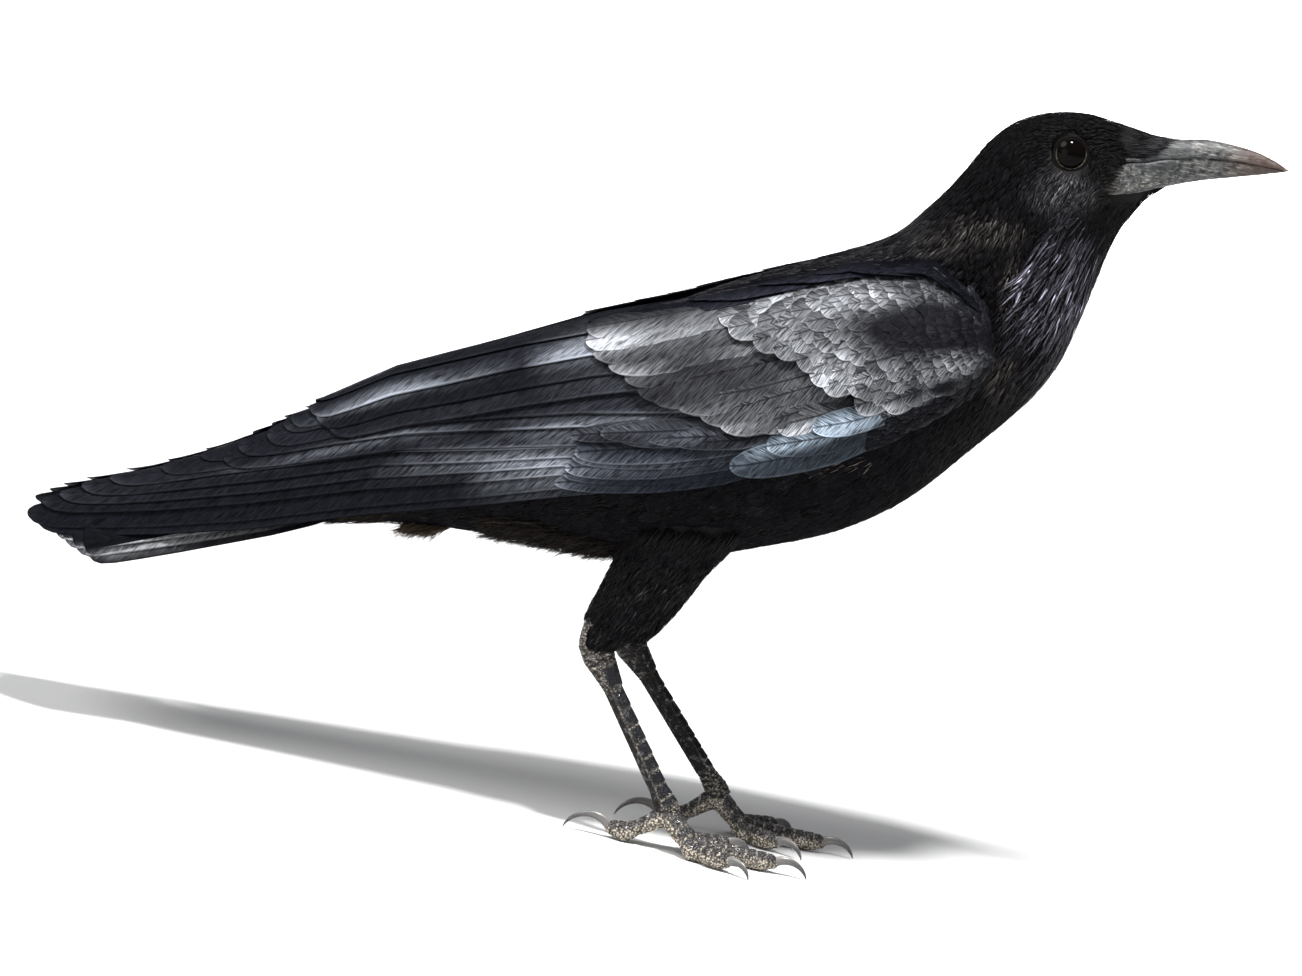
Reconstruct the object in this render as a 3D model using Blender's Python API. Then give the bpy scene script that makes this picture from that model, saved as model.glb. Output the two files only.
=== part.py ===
"""A Cape crow standing on level ground, life size, as a still museum model.

Sizes are millimetres in the tables and are turned into metres where a mesh is made.
+X runs to the bill, +Z up, and -Y is the bird's right side. The body is drawn in its own
frame, then tipped nose up and lifted into its stance. The legs stand on Z = 0.
"""

import math

import bmesh
import bpy
from mathutils import Vector

MM = 0.001
GAP = 0.3
# How the body's own frame is tipped nose up and moved to stand over the feet
PITCH = math.radians(6)
STANCE = Vector((-0.8, 0, 6.9))

# The body from the tail root to the bill: back (x, z), underside (x, z), half width
BODY = (
    ((-152, 121.0), (-160, 107.5), 10.0),
    ((-124, 139.0), (-130, 103.0), 19.0),
    ((-96, 156.0), (-98, 102.5), 26.0),
    ((-68, 173.0), (-69, 100.5), 33.0),
    ((-39, 189.0), (-40, 98.5), 40.0),
    ((-11, 203.0), (-12, 101.0), 45.5),
    ((17, 214.5), (16, 108.5), 47.5),
    ((41, 224.0), (42, 117.0), 47.0),
    ((54, 231.0), (66, 131.0), 43.5),
    ((62, 239.5), (88, 152.0), 37.5),
    ((69, 247.5), (105, 169.5), 32.5),
    ((76, 257.0), (117, 187.0), 28.5),
    ((83, 267.5), (124, 207.0), 25.5),
    ((92, 276.0), (129.5, 225.5), 23.0),
    ((104, 280.7), (135, 240.5), 20.5),
    ((117, 282.0), (141, 249.5), 15.0),
    ((127, 280.4), (143, 252.4), 11.0),
    ((134, 278.4), (145, 254.2), 8.8),
    ((140.2, 276.4), (146.4, 255.4), 7.3),
)
BODY_SIDES = 22
BOXINESS = 2.15
TAIL_CUT = 2.0
NECK_CUT = 8.6
HEAD_CUT = 12.3
TORSO_STEPS = 12
NECK_STEPS = 6


def mix(a, b, s):
    return a + (b - a) * s


def smooth(s):
    s = min(1.0, max(0.0, s))
    return s * s * (3 - 2 * s)


def catmull(values, t):
    """The value at t on a smooth curve through evenly numbered values."""
    last = len(values) - 1
    i = min(int(max(t, 0.0)), last - 1)
    s = t - i
    p = [values[min(max(i + k, 0), last)] for k in (-1, 0, 1, 2)]
    return 0.5 * (
        2 * p[1]
        + (p[2] - p[0]) * s
        + (2 * p[0] - 5 * p[1] + 4 * p[2] - p[3]) * s * s
        + (3 * p[1] - p[0] - 3 * p[2] + p[3]) * s**3
    )


def lookup(table, x):
    """The columns of a table at x, eased between rows whose first column falls."""
    for upper, lower in zip(table, table[1:]):
        if x >= lower[0]:
            break
    s = min(1.0, max(0.0, (upper[0] - x) / (upper[0] - lower[0])))
    return [mix(a, b, s) for a, b in zip(upper[1:], lower[1:])]


# Mesh helpers

def loft(name, rings):
    """A closed mesh through rings of as many points each, in mm.

    The first half of each ring is split as the mirror of the second, so that a thin
    curved vane has the same triangles on both faces.
    """
    bm = bmesh.new()
    rows = [[bm.verts.new(Vector(p) * MM) for p in ring] for ring in rings]
    count = len(rows[0])
    for a, b in zip(rows, rows[1:]):
        for i in range(count):
            j = (i + 1) % count
            if i < count // 2:
                bm.faces.new((a[i], a[j], b[j]))
                bm.faces.new((a[i], b[j], b[i]))
            else:
                bm.faces.new((a[i], a[j], b[i]))
                bm.faces.new((a[j], b[j], b[i]))
    bm.faces.new(rows[0])
    bm.faces.new(rows[-1])
    return finish_mesh(name, bm)


def oval(centre, a, b, sides):
    return [
        centre + a * math.cos(2 * math.pi * k / sides) + b * math.sin(2 * math.pi * k / sides)
        for k in range(sides)
    ]


def finish_mesh(name, bm):
    bmesh.ops.triangulate(bm, faces=bm.faces[:])
    bmesh.ops.recalc_face_normals(bm, faces=bm.faces[:])
    mesh = bpy.data.meshes.new(name)
    bm.to_mesh(mesh)
    bm.free()
    obj = bpy.data.objects.new(name, mesh)
    bpy.context.scene.collection.objects.link(obj)
    return obj


def face_groups(bm):
    """The faces of each closed surface, walked across edges that two faces share."""
    left = set(bm.faces)
    while left:
        edge = [left.pop()]
        group = set(edge)
        while edge:
            face = edge.pop()
            for e in face.edges:
                if len(e.link_faces) == 2:
                    near = [f for f in e.link_faces if f not in group]
                    group.update(near)
                    edge += near
        left -= group
        yield group


def volume(faces):
    return sum(
        f.verts[0].co.dot(f.verts[i].co.cross(f.verts[i + 1].co))
        for f in faces
        for i in range(1, len(f.verts) - 1)
    )


def keep_largest(obj):
    """Drops every closed surface of the mesh but the one that holds the most."""
    bm = bmesh.new()
    bm.from_mesh(obj.data)
    best = max(face_groups(bm), key=volume)
    rest = [f for f in bm.faces if f not in best]
    bmesh.ops.delete(bm, geom=rest, context="FACES")
    bmesh.ops.triangulate(bm, faces=bm.faces[:])
    bm.to_mesh(obj.data)
    bm.free()


def apply_boolean(obj, operation, others, solver="EXACT"):
    """Joins others to obj, or cuts them from it, and removes them."""
    group = bpy.data.collections.new("pieces")
    for other in others:
        group.objects.link(other)
    modifier = obj.modifiers.new(operation, "BOOLEAN")
    modifier.operation = operation
    modifier.operand_type = "COLLECTION"
    modifier.collection = group
    modifier.solver = solver
    graph = bpy.context.evaluated_depsgraph_get()
    made = bpy.data.meshes.new_from_object(obj.evaluated_get(graph))
    obj.modifiers.clear()
    obj.data = made
    for other in others:
        bpy.data.objects.remove(other)
    bpy.data.collections.remove(group)
    keep_largest(obj)
    return obj


def fuse(obj, others):
    return apply_boolean(obj, "UNION", others)


def cut(obj, others):
    return apply_boolean(obj, "DIFFERENCE", others)


def mirrored(obj, name):
    """A copy on the bird's other side."""
    other = bpy.data.objects.new(name, obj.data.copy())
    bpy.context.scene.collection.objects.link(other)
    bm = bmesh.new()
    bm.from_mesh(other.data)
    bmesh.ops.scale(bm, vec=(1, -1, 1), verts=bm.verts[:])
    bmesh.ops.reverse_faces(bm, faces=bm.faces[:])
    bm.to_mesh(other.data)
    bm.free()
    return other


# The body's own surface

def station(t):
    """Back point, underside point and half width at t along the body."""
    columns = [
        [row[0][0] for row in BODY],
        [row[0][1] for row in BODY],
        [row[1][0] for row in BODY],
        [row[1][1] for row in BODY],
        [row[2] for row in BODY],
    ]
    bx, bz, ux, uz, w = (catmull(c, t) for c in columns)
    return Vector((bx, 0, bz)), Vector((ux, 0, uz)), w


def rounded(angle):
    """Cosine and sine of a slightly boxy circle."""
    c, s = math.cos(angle), math.sin(angle)
    power = 2 / BOXINESS
    return (
        math.copysign(abs(c) ** power, c),
        math.copysign(abs(s) ** power, s),
    )


def body_ring(t, grow=0.0, shift=0.0):
    back, under, w = station(t)
    middle = (back + under) / 2
    half = (back - under) / 2
    half = half.normalized() * (half.length + grow)
    along = Vector((half.z, 0, -half.x)).normalized()
    ring = []
    for i in range(BODY_SIDES):
        c, s = rounded(2 * math.pi * i / BODY_SIDES)
        ring.append(middle + half * c + Vector((0, (w + grow) * s, 0)) + along * shift)
    return ring


def body_loft(name, start, end, steps, grow=0.0):
    """Part of the body, its end faces half a gap short of the cut planes."""
    rings = []
    for k in range(steps + 1):
        shift = GAP / 2 if k == 0 else -GAP / 2 if k == steps else 0
        rings.append(body_ring(mix(start, end, k / steps), grow, shift))
    return loft(name, rings)


def whole_body(name, grow):
    """The body from end to end on the rings of its nodes, a little larger."""
    ends = (0, TAIL_CUT, NECK_CUT, HEAD_CUT, len(BODY) - 1)
    steps = (3, TORSO_STEPS, NECK_STEPS, 4)
    rings = [body_ring(0, grow)]
    for start, end, count in zip(ends, ends[1:], steps):
        rings += [body_ring(mix(start, end, k / count), grow) for k in range(1, count + 1)]
    return loft(name, rings)


SLICES = [station((len(BODY) - 1) * k / 180) for k in range(181)]


def body_side(x, z):
    """Half width of the body at (x, z), or 0 outside it."""
    best, found = 1e9, 0.0
    for back, under, w in SLICES:
        dx, dz = under.x - back.x, under.z - back.z
        length = math.hypot(dx, dz)
        f = ((x - back.x) * dx + (z - back.z) * dz) / length**2
        off = abs((x - back.x) * dz - (z - back.z) * dx) / length
        if 0 < f < 1 and off < best:
            best = off
            found = w * math.sqrt(max(0.0, 1 - (2 * f - 1) ** 2))
    return found if best < 4 else 0.0


# The folded wing's surface: hoops round the body at each x, from its upper to its lower edge.
# Each row: x, centre y, centre z, half width, half height, upper angle, lower angle in degrees
HOOPS = (
    (93.5, -18, 196, 22, 14, 82, 98),
    (91.5, -14, 196, 27, 24, 74, 104),
    (88, -10, 196, 32, 30, 64, 116),
    (80, -4, 194, 40, 40, 56, 121),
    (66, 0, 186, 46, 50, 40, 118),
    (41, 0, 171, 51, 56, 27, 113),
    (5, 0, 157, 51, 56, 21, 112),
    (-25, 0, 147, 48, 54, 16, 107),
    (-57, -1, 136, 42, 54, 8, 99),
    (-84, -2, 127, 37, 52, 4, 94),
    (-106, -3, 121, 33, 49, 2, 91),
    (-128, -3, 117, 30, 44.5, 1, 90),
    (-158, -4, 108.5, 27, 35.5, 1, 90),
    (-194, -4, 102, 23, 23, 2, 90),
    (-214, -4, 98.5, 20, 18, 2, 90),
    (-262, -4, 92, 16, 9, 2, 90),
)
WING_CLEARANCE = 2.6


def hoop_reach(yc, zc, x, dy, dz, start):
    """How far from the hoop's centre the body's surface lies along (dy, dz)."""
    low, high = 0.0, start
    for _ in range(14):
        r = (low + high) / 2
        if abs(yc + dy * r) < body_side(x, zc + dz * r):
            low = r
        else:
            high = r
    return high


REACH = {}


def wing_point(x, v, h):
    """The right wing's surface at x, v from upper (0) to lower edge (1), h mm out."""
    yc, zc, a, b, top, low = lookup(HOOPS, x)
    angle = math.radians(mix(top, low, v))
    dy, dz = -math.sin(angle), math.cos(angle)
    r = 1 / math.hypot(dy / a, dz / b)
    key = (round(x, 1), round(angle, 2))
    if key not in REACH:
        REACH[key] = hoop_reach(yc, zc, x, dy, dz, r + 12) if x > -110 else 0.0
    r = max(r, REACH[key] + WING_CLEARANCE) + h
    return Vector((x, yc + dy * r, zc + dz * r))


def hoop_length(x):
    return sum(
        (wing_point(x, (k + 1) / 6, 0) - wing_point(x, k / 6, 0)).length
        for k in range(6)
    )


# Feathers

# Where a feather's cross-sections lie along it, and how wide each is
QUILL = ((0.0, 0.6), (0.4, 0.95), (0.76, 1.0), (0.94, 0.74), (1.0, 0.3))
COVERT = ((0.0, 0.8), (0.55, 1.0), (0.86, 0.78), (1.0, 0.26))
VANE_THICK = 0.7


def vane(name, place, shape, width, lift, sunk, thick=VANE_THICK):
    """A vane: place(s, side, h) gives a point s along it, side mm across and h mm out.

    lift(s) gives its height there. It is tilted so that its upper edge lies sunk mm deeper.
    """
    rings = []
    for s, share in shape:
        half = width * share / 2
        base = lift(s)
        rings.append(
            (
                place(s, -half, base - sunk - thick),
                place(s, half, base - thick),
                place(s, half, base),
                place(s, -half, base - sunk),
            )
        )
    return loft(name, rings)


def wing_vane(name, root, tip, width, lifts, sunk, thick=VANE_THICK, shape=QUILL):
    """A feather on the folded wing from root (x, v) to tip (x, v)."""
    length = hoop_length((root[0] + tip[0]) / 2)

    def place(s, side, h):
        x = mix(root[0], tip[0], s)
        return wing_point(x, mix(root[1], tip[1], s) + side / length, h)

    def lift(s):
        return mix(*lifts, smooth(s * 1.6))

    return vane(name, place, shape, width, lift, sunk, thick)


def feather_row(name, count, roots, tips, width, lifts, sunk, thick):
    """A tier of like feathers, evenly spread from the upper to the lower one."""
    row = []
    for i in range(count):
        s = i / (count - 1)
        root = [mix(roots[0][k], roots[1][k], s) for k in (0, 1)]
        tip = [mix(tips[0][k], tips[1][k], s) for k in (0, 1)]
        row.append(
            wing_vane(f"{name}{i}", root, tip, mix(*width, s), lifts, sunk, thick, COVERT)
        )
    return row


# Tip x, tip v and width of each long quill, from the innermost to the outermost
INNER_QUILLS = ((-136, 0.09, 27), (-148, 0.23, 27), (-156, 0.38, 24))
MIDDLE_QUILLS = ((-163, 0.12, 22), (-171, 0.22, 21), (-179, 0.32, 20), (-188, 0.42, 18))
OUTER_QUILLS = (
    (-200, 0.16, 19),
    (-218, 0.24, 18),
    (-236, 0.34, 17),
    (-250, 0.48, 16),
    (-257, 0.70, 15),
    (-242, 0.93, 13),
)


def wing_core():
    """The folded arm, its small feathers and the heart of the quill stack."""
    xs = (92.5, 90, 84, 72, 52, 26, 0, -28, -56, -86, -118, -150)
    across = 7
    rings = []
    for k, x in enumerate(xs):
        inner = mix(-9.0, -4.6, smooth((60 - x) / 150))
        outer = mix(0.0, -2.2, smooth((-30 - x) / 70))
        rim = 0.10 if x < -40 else 0.03
        vs = [mix(rim, 1 - rim, i / (across - 1)) for i in range(across)]
        ring = [wing_point(x, v, outer - 1.4 * (abs(2 * v - 1) ** 6)) for v in vs]
        ring += [wing_point(x, v, inner) for v in reversed(vs)]
        rings.append(ring)
    return loft("wing_right", rings)


# Rise at root and tip, and how much deeper the upper edge lies, for each layer of quills
INNER_LAY = ((0.6, 1.4), 4.0)
MIDDLE_LAY = ((0.0, 0.4), 4.4)
OUTER_LAY = ((-0.6, 0.0), 4.6)
# Tiers of coverts: count, first and last root, first and last tip, widths, rise, sink, thickness
COVERT_TIERS = {
    "great": (6, ((22, 0.10), (30, 0.70)), ((-66, 0.20), (-22, 0.78)), (24, 17), (-0.6, 1.9), 2.6, 3.0),
    "hand": (2, ((12, 0.84), (10, 0.93)), ((-61, 0.84), (-63, 0.97)), (15, 13), (-0.6, 1.7), 2.4, 3.0),
    "thumb": (2, ((60, 0.82), (56, 0.93)), ((22, 0.83), (0, 0.95)), (15, 13), (-0.4, 1.9), 2.0, 3.0),
    "middle_row": (
        6, ((30, 0.16), (52, 0.66)), ((-12, 0.22), (20, 0.70)), (20, 14), (0.0, 2.8), 2.2, 3.6,
    ),
    "small_row": (
        5, ((52, 0.20), (70, 0.60)), ((16, 0.22), (44, 0.62)), (19, 14), (0.0, 2.6), 2.0, 3.6,
    ),
    "shoulder_low": (
        2, ((30, 0.02), (2, 0.03)), ((-22, 0.10), (-56, 0.09)), (24, 22), (0.4, 3.6), 2.4, 4.0,
    ),
    "shoulder_high": (
        2, ((62, 0.04), (34, 0.02)), ((16, 0.12), (-10, 0.07)), (22, 22), (0.2, 3.4), 2.2, 4.0,
    ),
}


def wing_feathers():
    made = []
    for i, (x, v, width) in enumerate(INNER_QUILLS):
        root = (-18 - 6 * i, 0.05 + 0.15 * i)
        made.append(wing_vane(f"inner{i}", root, (x, v), width, *INNER_LAY))
    for i, (x, v, width) in enumerate(MIDDLE_QUILLS):
        root = (-40 - 3 * i, 0.44 + 0.09 * i)
        made.append(wing_vane(f"middle{i}", root, (x, v), width, *MIDDLE_LAY))
    for i, (x, v, width) in enumerate(OUTER_QUILLS):
        root = (-52, 0.72 + 0.045 * i)
        made.append(wing_vane(f"outer{i}", root, (x, v), width, *OUTER_LAY))
    for name, tier in COVERT_TIERS.items():
        made += feather_row(name, *tier)
    return made


def far_side(name):
    """A block that takes up the other wing's half of the bird."""
    corners = ((GAP / 2, 60), (80, 60), (80, 260), (GAP / 2, 260))
    return loft(name, [[Vector((x, y - GAP, z)) for y, z in corners] for x in (-280, 110)])


def make_wings():
    wing = wing_core()
    fuse(wing, wing_feathers())
    cut(wing, [whole_body("inside", GAP), far_side("far_side")])
    return wing, mirrored(wing, "wing_left")


# The tail: six feathers a side, the middle pair on top

TAIL_ROOT = Vector((-132, 0, 117))
TAIL_TIP = Vector((-252, 0, 91.5))
TAIL_LAYER = 1.25
TAIL_FEATHERS = 6


def tail_vane(side, i, thick=0.8):
    """Feather i of the tail, counted from the middle, on side -1 or 1."""
    spread = i / (TAIL_FEATHERS - 1)
    root = TAIL_ROOT + Vector((0, side * mix(2, 7, spread), -TAIL_LAYER * i))
    drop = TAIL_LAYER * i + 3.2 * spread**2
    tip = TAIL_TIP + Vector((8 * spread**1.5, side * mix(4.5, 20, spread), -drop))
    roll = math.radians(mix(5, 17, spread))
    out = Vector((0, side * math.cos(roll), -math.sin(roll)))
    up = Vector((0, side * math.sin(roll), math.cos(roll)))

    def place(s, across, h):
        return root + (tip - root) * s + out * across + up * (h - 2.2 * s * (1 - s))

    shape = ((0.0, 0.35), (0.45, 0.85), (0.9, 0.95), (1.0, 0.36))
    level = -0.2 if side < 0 and i == 0 else 0.0
    return vane(f"quill{side}{i}", place, shape, 23, lambda s: level, 0.0, thick)


# Short feathers over and under the tail's root: x, distance from the middle, z, length, droop
ABOVE_TAIL = ((-118, 7, 128, 52, 15), (-128, 3.5, 124.5, 54, 14), (-110, 13, 122, 50, 13))
BELOW_TAIL = ((-118, 8, 107, 40, 4), (-130, 4, 107.5, 38, 4))
ABOVE_WIDTH = 15
BELOW_WIDTH = 16
TAIL_COVERT_ROLL = math.radians(14)


def tail_covert(name, x, y, z, length, droop, width, side, thick=1.6):
    """A short feather over or under the root of the tail."""
    roll = TAIL_COVERT_ROLL * side

    def place(s, across, h):
        return Vector(
            (x - length * s, y + across * math.cos(roll), z - droop * s + h)
        ) + Vector((0, 0, -across * math.sin(roll)))

    return vane(name, place, COVERT, width, lambda s: 0.0, 0.0, thick)


def make_tail():
    root = body_loft("tail", 0, TAIL_CUT, 3)
    made = [tail_vane(side, i) for i in range(TAIL_FEATHERS) for side in (-1, 1)]
    for rows, width, word in ((ABOVE_TAIL, ABOVE_WIDTH, "above"), (BELOW_TAIL, BELOW_WIDTH, "below")):
        for i, (x, y, z, length, droop) in enumerate(rows):
            for side in (-1, 1):
                name = f"{word}{i}{side}"
                made.append(tail_covert(name, x, side * y, z, length, droop, width, side))
    return fuse(root, made)


# The head: eyes in sockets with lids, a mouth line behind the bill

EYE = Vector((113.2, 0, 268.4))
EYE_RADIUS = 7.6
EYE_VIEW = 5.9
EYE_DEPTH = 5.7
LID = 0.95
LID_SIDES = 5
EYE_SIDES = 14
# The orbit's dish: how far ahead of the eye's centre, and radius
ORBIT = ((EYE_DEPTH + 3, 11.0), (EYE_DEPTH - 1.2, 7.2))
# The mouth's slit behind the bill: x, z, depth, half height at the surface
MOUTH = ((143.5, 266.6, 3.0, 0.5), (136, 264.3, 1.5, 0.55), (129, 262, 0.5, 0.4))


def eye_frame(side):
    """The eye's centre and the direction in which it looks."""
    look = Vector((0.13, side, 0.05)).normalized()
    surface = body_side(EYE.x, EYE.z)
    return EYE + Vector((0, side * surface, 0)) - look * EYE_DEPTH, look


def turned(centre, look, radius, along, angle):
    side = look.cross(Vector((0, 0, 1))).normalized()
    up = side.cross(look)
    spoke = side * math.cos(angle) + up * math.sin(angle)
    return centre + look * along + spoke * radius


def eye_rings(side, radius, sink, latitudes):
    centre, look = eye_frame(side)
    centre -= look * sink
    rings = []
    for lat in latitudes:
        angle = math.radians(lat)
        rings.append(
            [
                turned(
                    centre,
                    look,
                    radius * math.cos(angle),
                    radius * math.sin(angle),
                    2 * math.pi * k / EYE_SIDES,
                )
                for k in range(EYE_SIDES)
            ]
        )
    return rings


def eye_lens(name, side, grow):
    """A ball whose back is cut off flat; grown, it is the socket that clears it."""
    latitudes = (-12, 14, 38, 60, 80) if grow == 0 else (-17, 14, 38, 60, 80)
    return loft(name, eye_rings(side, EYE_RADIUS + grow, 0, latitudes))


def orbit(name, side):
    """The shallow dish of bare, soft feathering that the lids lie in."""
    centre, look = eye_frame(side)
    rings = []
    for along, radius in ORBIT:
        rings.append(
            [
                turned(centre, look, radius, along, 2 * math.pi * k / EYE_SIDES)
                for k in range(EYE_SIDES)
            ]
        )
    return loft(name, rings)


def lid_ring(name, side):
    """The rim of both lids."""
    centre, look = eye_frame(side)
    bm = bmesh.new()
    rows = []
    for k in range(EYE_SIDES):
        row = []
        for j in range(LID_SIDES):
            turn = 2 * math.pi * j / LID_SIDES
            radius = EYE_VIEW + LID * (0.55 + math.cos(turn))
            along = math.sqrt(EYE_RADIUS**2 - EYE_VIEW**2) - 0.2 + LID * math.sin(turn)
            p = turned(centre, look, radius, along, 2 * math.pi * k / EYE_SIDES)
            row.append(bm.verts.new(p * MM))
        rows.append(row)
    for a, b in zip(rows, rows[1:] + rows[:1]):
        for j in range(LID_SIDES):
            k = (j + 1) % LID_SIDES
            bm.faces.new((a[j], a[k], b[k], b[j]))
    return finish_mesh(name, bm)


def mouth_groove(name, side):
    """The slit from the base of the bill back to the corner of the mouth."""
    rings = []
    for x, z, deep, high in MOUTH:
        y = side * body_side(x, z)
        inner = y - side * deep
        outer = y + side * 2
        rings.append(
            [
                Vector((x, inner, z - 0.25)),
                Vector((x, outer, z - high)),
                Vector((x, outer, z + high)),
                Vector((x, inner, z + 0.25)),
            ]
        )
    return loft(name, rings)


def make_head():
    head = body_loft("head", HEAD_CUT, len(BODY) - 1, 11)
    cut(head, [orbit("orbit", side) for side in (-1, 1)])
    fuse(head, [lid_ring("lid", side) for side in (-1, 1)])
    cutters = [eye_lens("socket", side, GAP) for side in (-1, 1)]
    cutters += [mouth_groove("mouth", side) for side in (-1, 1)]
    return cut(head, cutters)


# The bill: x, ridge z, mouth line z, underside z, half width
BILL = (
    (143.2, 276.0, 267.0, 255.9, 6.9),
    (147.0, 275.8, 268.0, 257.6, 6.3),
    (154.0, 276.1, 269.4, 259.3, 5.6),
    (163.0, 276.9, 270.3, 261.6, 4.9),
    (173.0, 276.0, 270.4, 263.7, 4.1),
    (182.0, 274.2, 269.6, 265.5, 3.1),
    (189.0, 271.6, 268.9, 267.0, 2.0),
    (192.6, 269.7, 268.4, 267.8, 1.1),
)
BILL_LEAN = (BODY[-1][1][0] - BODY[-1][0][0]) / (BODY[-1][0][1] - BODY[-1][1][1])
BILL_ARC = 9


def bill_half(name, upper):
    """The upper or the lower half of the bill, with the mouth line as a gap."""
    rings = []
    for row, (x, ridge, mouth, under, w) in enumerate(BILL):
        edge = mouth + (GAP / 2 if upper else -GAP / 2)
        reach = ridge - edge if upper else under - edge
        lean = BILL_LEAN * max(0.0, 1 - row / 2)
        w_here = w if upper else w * 0.9
        ring = []
        for k in range(BILL_ARC):
            angle = math.pi * k / (BILL_ARC - 1)
            z = edge + reach * math.sin(angle) ** 0.9
            y = w_here * math.cos(angle)
            ring.append(Vector((x + lean * (mouth - z), y, z)))
        floor = edge + (0.7 if upper else -0.7) * min(1.0, w / 4)
        ring.append(Vector((x, 0, floor)))
        rings.append(ring)
    tip_x = 194.4 if upper else 193.0
    z = BILL[-1][2] + (-0.1 if upper else -0.35)
    rings.append([Vector((tip_x, p.y * 0.2, z + (p.z - z) * 0.2)) for p in rings[-1]])
    return loft(name, rings)


# Each nostril's middle (x, z), its rings (distance from the middle plane, size) and its shape
NOSTRIL = (150, 272.6)
NOSTRIL_RINGS = ((7.5, 1.5), (3.4, 0.9))
NOSTRIL_LONG = 1.9
NOSTRIL_HIGH = 0.8


def nostril(name, side):
    rings = []
    for y, r in NOSTRIL_RINGS:
        middle = Vector((NOSTRIL[0], side * y, NOSTRIL[1]))
        rings.append(oval(middle, Vector((NOSTRIL_LONG * r, 0, 0)), Vector((0, 0, NOSTRIL_HIGH * r)), 6))
    return loft(name, rings)


def make_bill():
    upper = bill_half("bill_upper", True)
    cut(upper, [nostril("nostril", side) for side in (-1, 1)])
    return upper, bill_half("bill_lower", False)


# Legs

def to_world(p):
    """A point of the body's own frame in its stance."""
    c, d = math.cos(PITCH), math.sin(PITCH)
    return Vector((p.x * c - p.z * d, p.y, p.x * d + p.z * c)) + STANCE


def to_body(p):
    """The other way round."""
    c, d = math.cos(PITCH), math.sin(PITCH)
    q = p - STANCE
    return Vector((q.x * c + q.z * d, q.y, q.z * c - q.x * d))


class Leg:
    """Where one leg stands: side of the body, heel and foot joint, turn of the foot."""

    def __init__(self, word, side, heel, joint, turn):
        self.word = word
        self.side = side
        self.heel = Vector(heel)
        self.joint = Vector(joint)
        self.turn = turn
        self.down = (self.joint - self.heel).normalized()
        self.front = Vector((-self.down.z, 0, self.down.x))
        self.length = (self.joint - self.heel).length


LEGS = (
    Leg("right", -1, (-49.5, -26, 69.0), (-10.5, -26, 15.0), 0),
    Leg("left", 1, (-38.5, 26, 65.5), (7.0, 26, 15.8), -6),
)
HIP = Vector((-10.5, 24, 117))
# The feathered thigh: share of the way from hip to heel, half length, half width
THIGH = ((0.0, 21.0, 14.5), (0.28, 19.0, 14.0), (0.52, 16.0, 12.0), (0.76, 13.0, 9.5), (0.93, 9.5, 7.2))
THIGH_END = (7.0, 5.2)
THIGH_SIDES = 12
HEEL_TOP = -2.0
SHANK_SIDES = 10
SCUTES = 9
# Distance from the heel or, where negative, back from the joint, half depth, half width
SHANK_TOP = ((HEEL_TOP, 5.6, 4.3), (3.0, 6.1, 4.7), (8.0, 5.0, 4.0), (14.0, 3.9, 3.2))
SHANK_END = ((-7.0, 3.6, 3.2), (-2.0, 4.4, 4.1), (2.5, 3.9, 3.8))
SHANK_THIN = (3.15, 2.55)


def thigh(leg):
    """Made in the body's own frame, so that the body can be cut from it."""
    hip = Vector((HIP.x, leg.side * HIP.y, HIP.z))
    heel = to_body(leg.heel)
    rings = []
    for share, half, w in THIGH:
        centre = hip.lerp(heel, share)
        rings.append(oval(centre, Vector((half, 0, 0)), Vector((0, w, 0)), THIGH_SIDES))
    end = leg.heel + leg.down * (HEEL_TOP - GAP)
    last = oval(end, leg.front * THIGH_END[0], Vector((0, THIGH_END[1], 0)), THIGH_SIDES)
    rings.append([to_body(p) for p in last])
    made = loft(f"thigh_{leg.word}", rings)
    return cut(made, [whole_body("inside", GAP)])


def shank_ring(leg, along, depth, width, plate=0.0):
    """One ring of the shank; plate raises its front."""
    middle = leg.heel + leg.down * along
    ring = []
    for p in oval(middle, leg.front * depth, Vector((0, width, 0)), SHANK_SIDES):
        in_front = (p - middle).dot(leg.front) > depth * 0.2
        ring.append(p + leg.front * plate if in_front else p)
    return ring


def shank(leg):
    rings = [shank_ring(leg, *row) for row in SHANK_TOP]
    first, last = SHANK_TOP[-1][0] + 1.5, leg.length + SHANK_END[0][0] - 1.5
    depth, width = SHANK_THIN
    for i in range(SCUTES):
        upper = mix(first, last, i / SCUTES)
        lower = mix(first, last, (i + 1) / SCUTES) - 0.4
        rings.append(shank_ring(leg, upper, depth - 0.1, width - 0.05))
        rings.append(shank_ring(leg, lower, depth, width, 0.5))
    rings += [shank_ring(leg, leg.length + back, d, w) for back, d, w in SHANK_END]
    return loft(f"shank_{leg.word}", rings)


# Toes: name, direction in degrees from the foot's own, toe length, claw length and curve
TOES = (
    ("inner", 33, 29.0, 11.5, 100),
    ("middle", 0, 43.0, 13.0, 100),
    ("outer", -34, 31.0, 10.5, 100),
    ("hind", 176, 21.0, 17.0, 118),
)
TOE_SIDES = 8
TOE_BANDS = {"inner": 5, "middle": 7, "outer": 6, "hind": 4}
TOE_DROP = 15.0
TOE_REST = 3.9
TOE_ROOT = (4.2, 3.9)
TOE_END = (3.1, 2.7)
CLAW_ROOT = (4.1, 1.85, 1.3)
CLAW_STEPS = 6
CLAW_CLEAR = 0.4


def toe_frame(leg, angle):
    """The toe's start on the ground and its direction over it."""
    turn = math.radians(leg.turn + angle) * -leg.side
    ahead = Vector((math.cos(turn), math.sin(turn), 0))
    return Vector((leg.joint.x, leg.joint.y, 0)), ahead, Vector((-ahead.y, ahead.x, 0))


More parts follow.
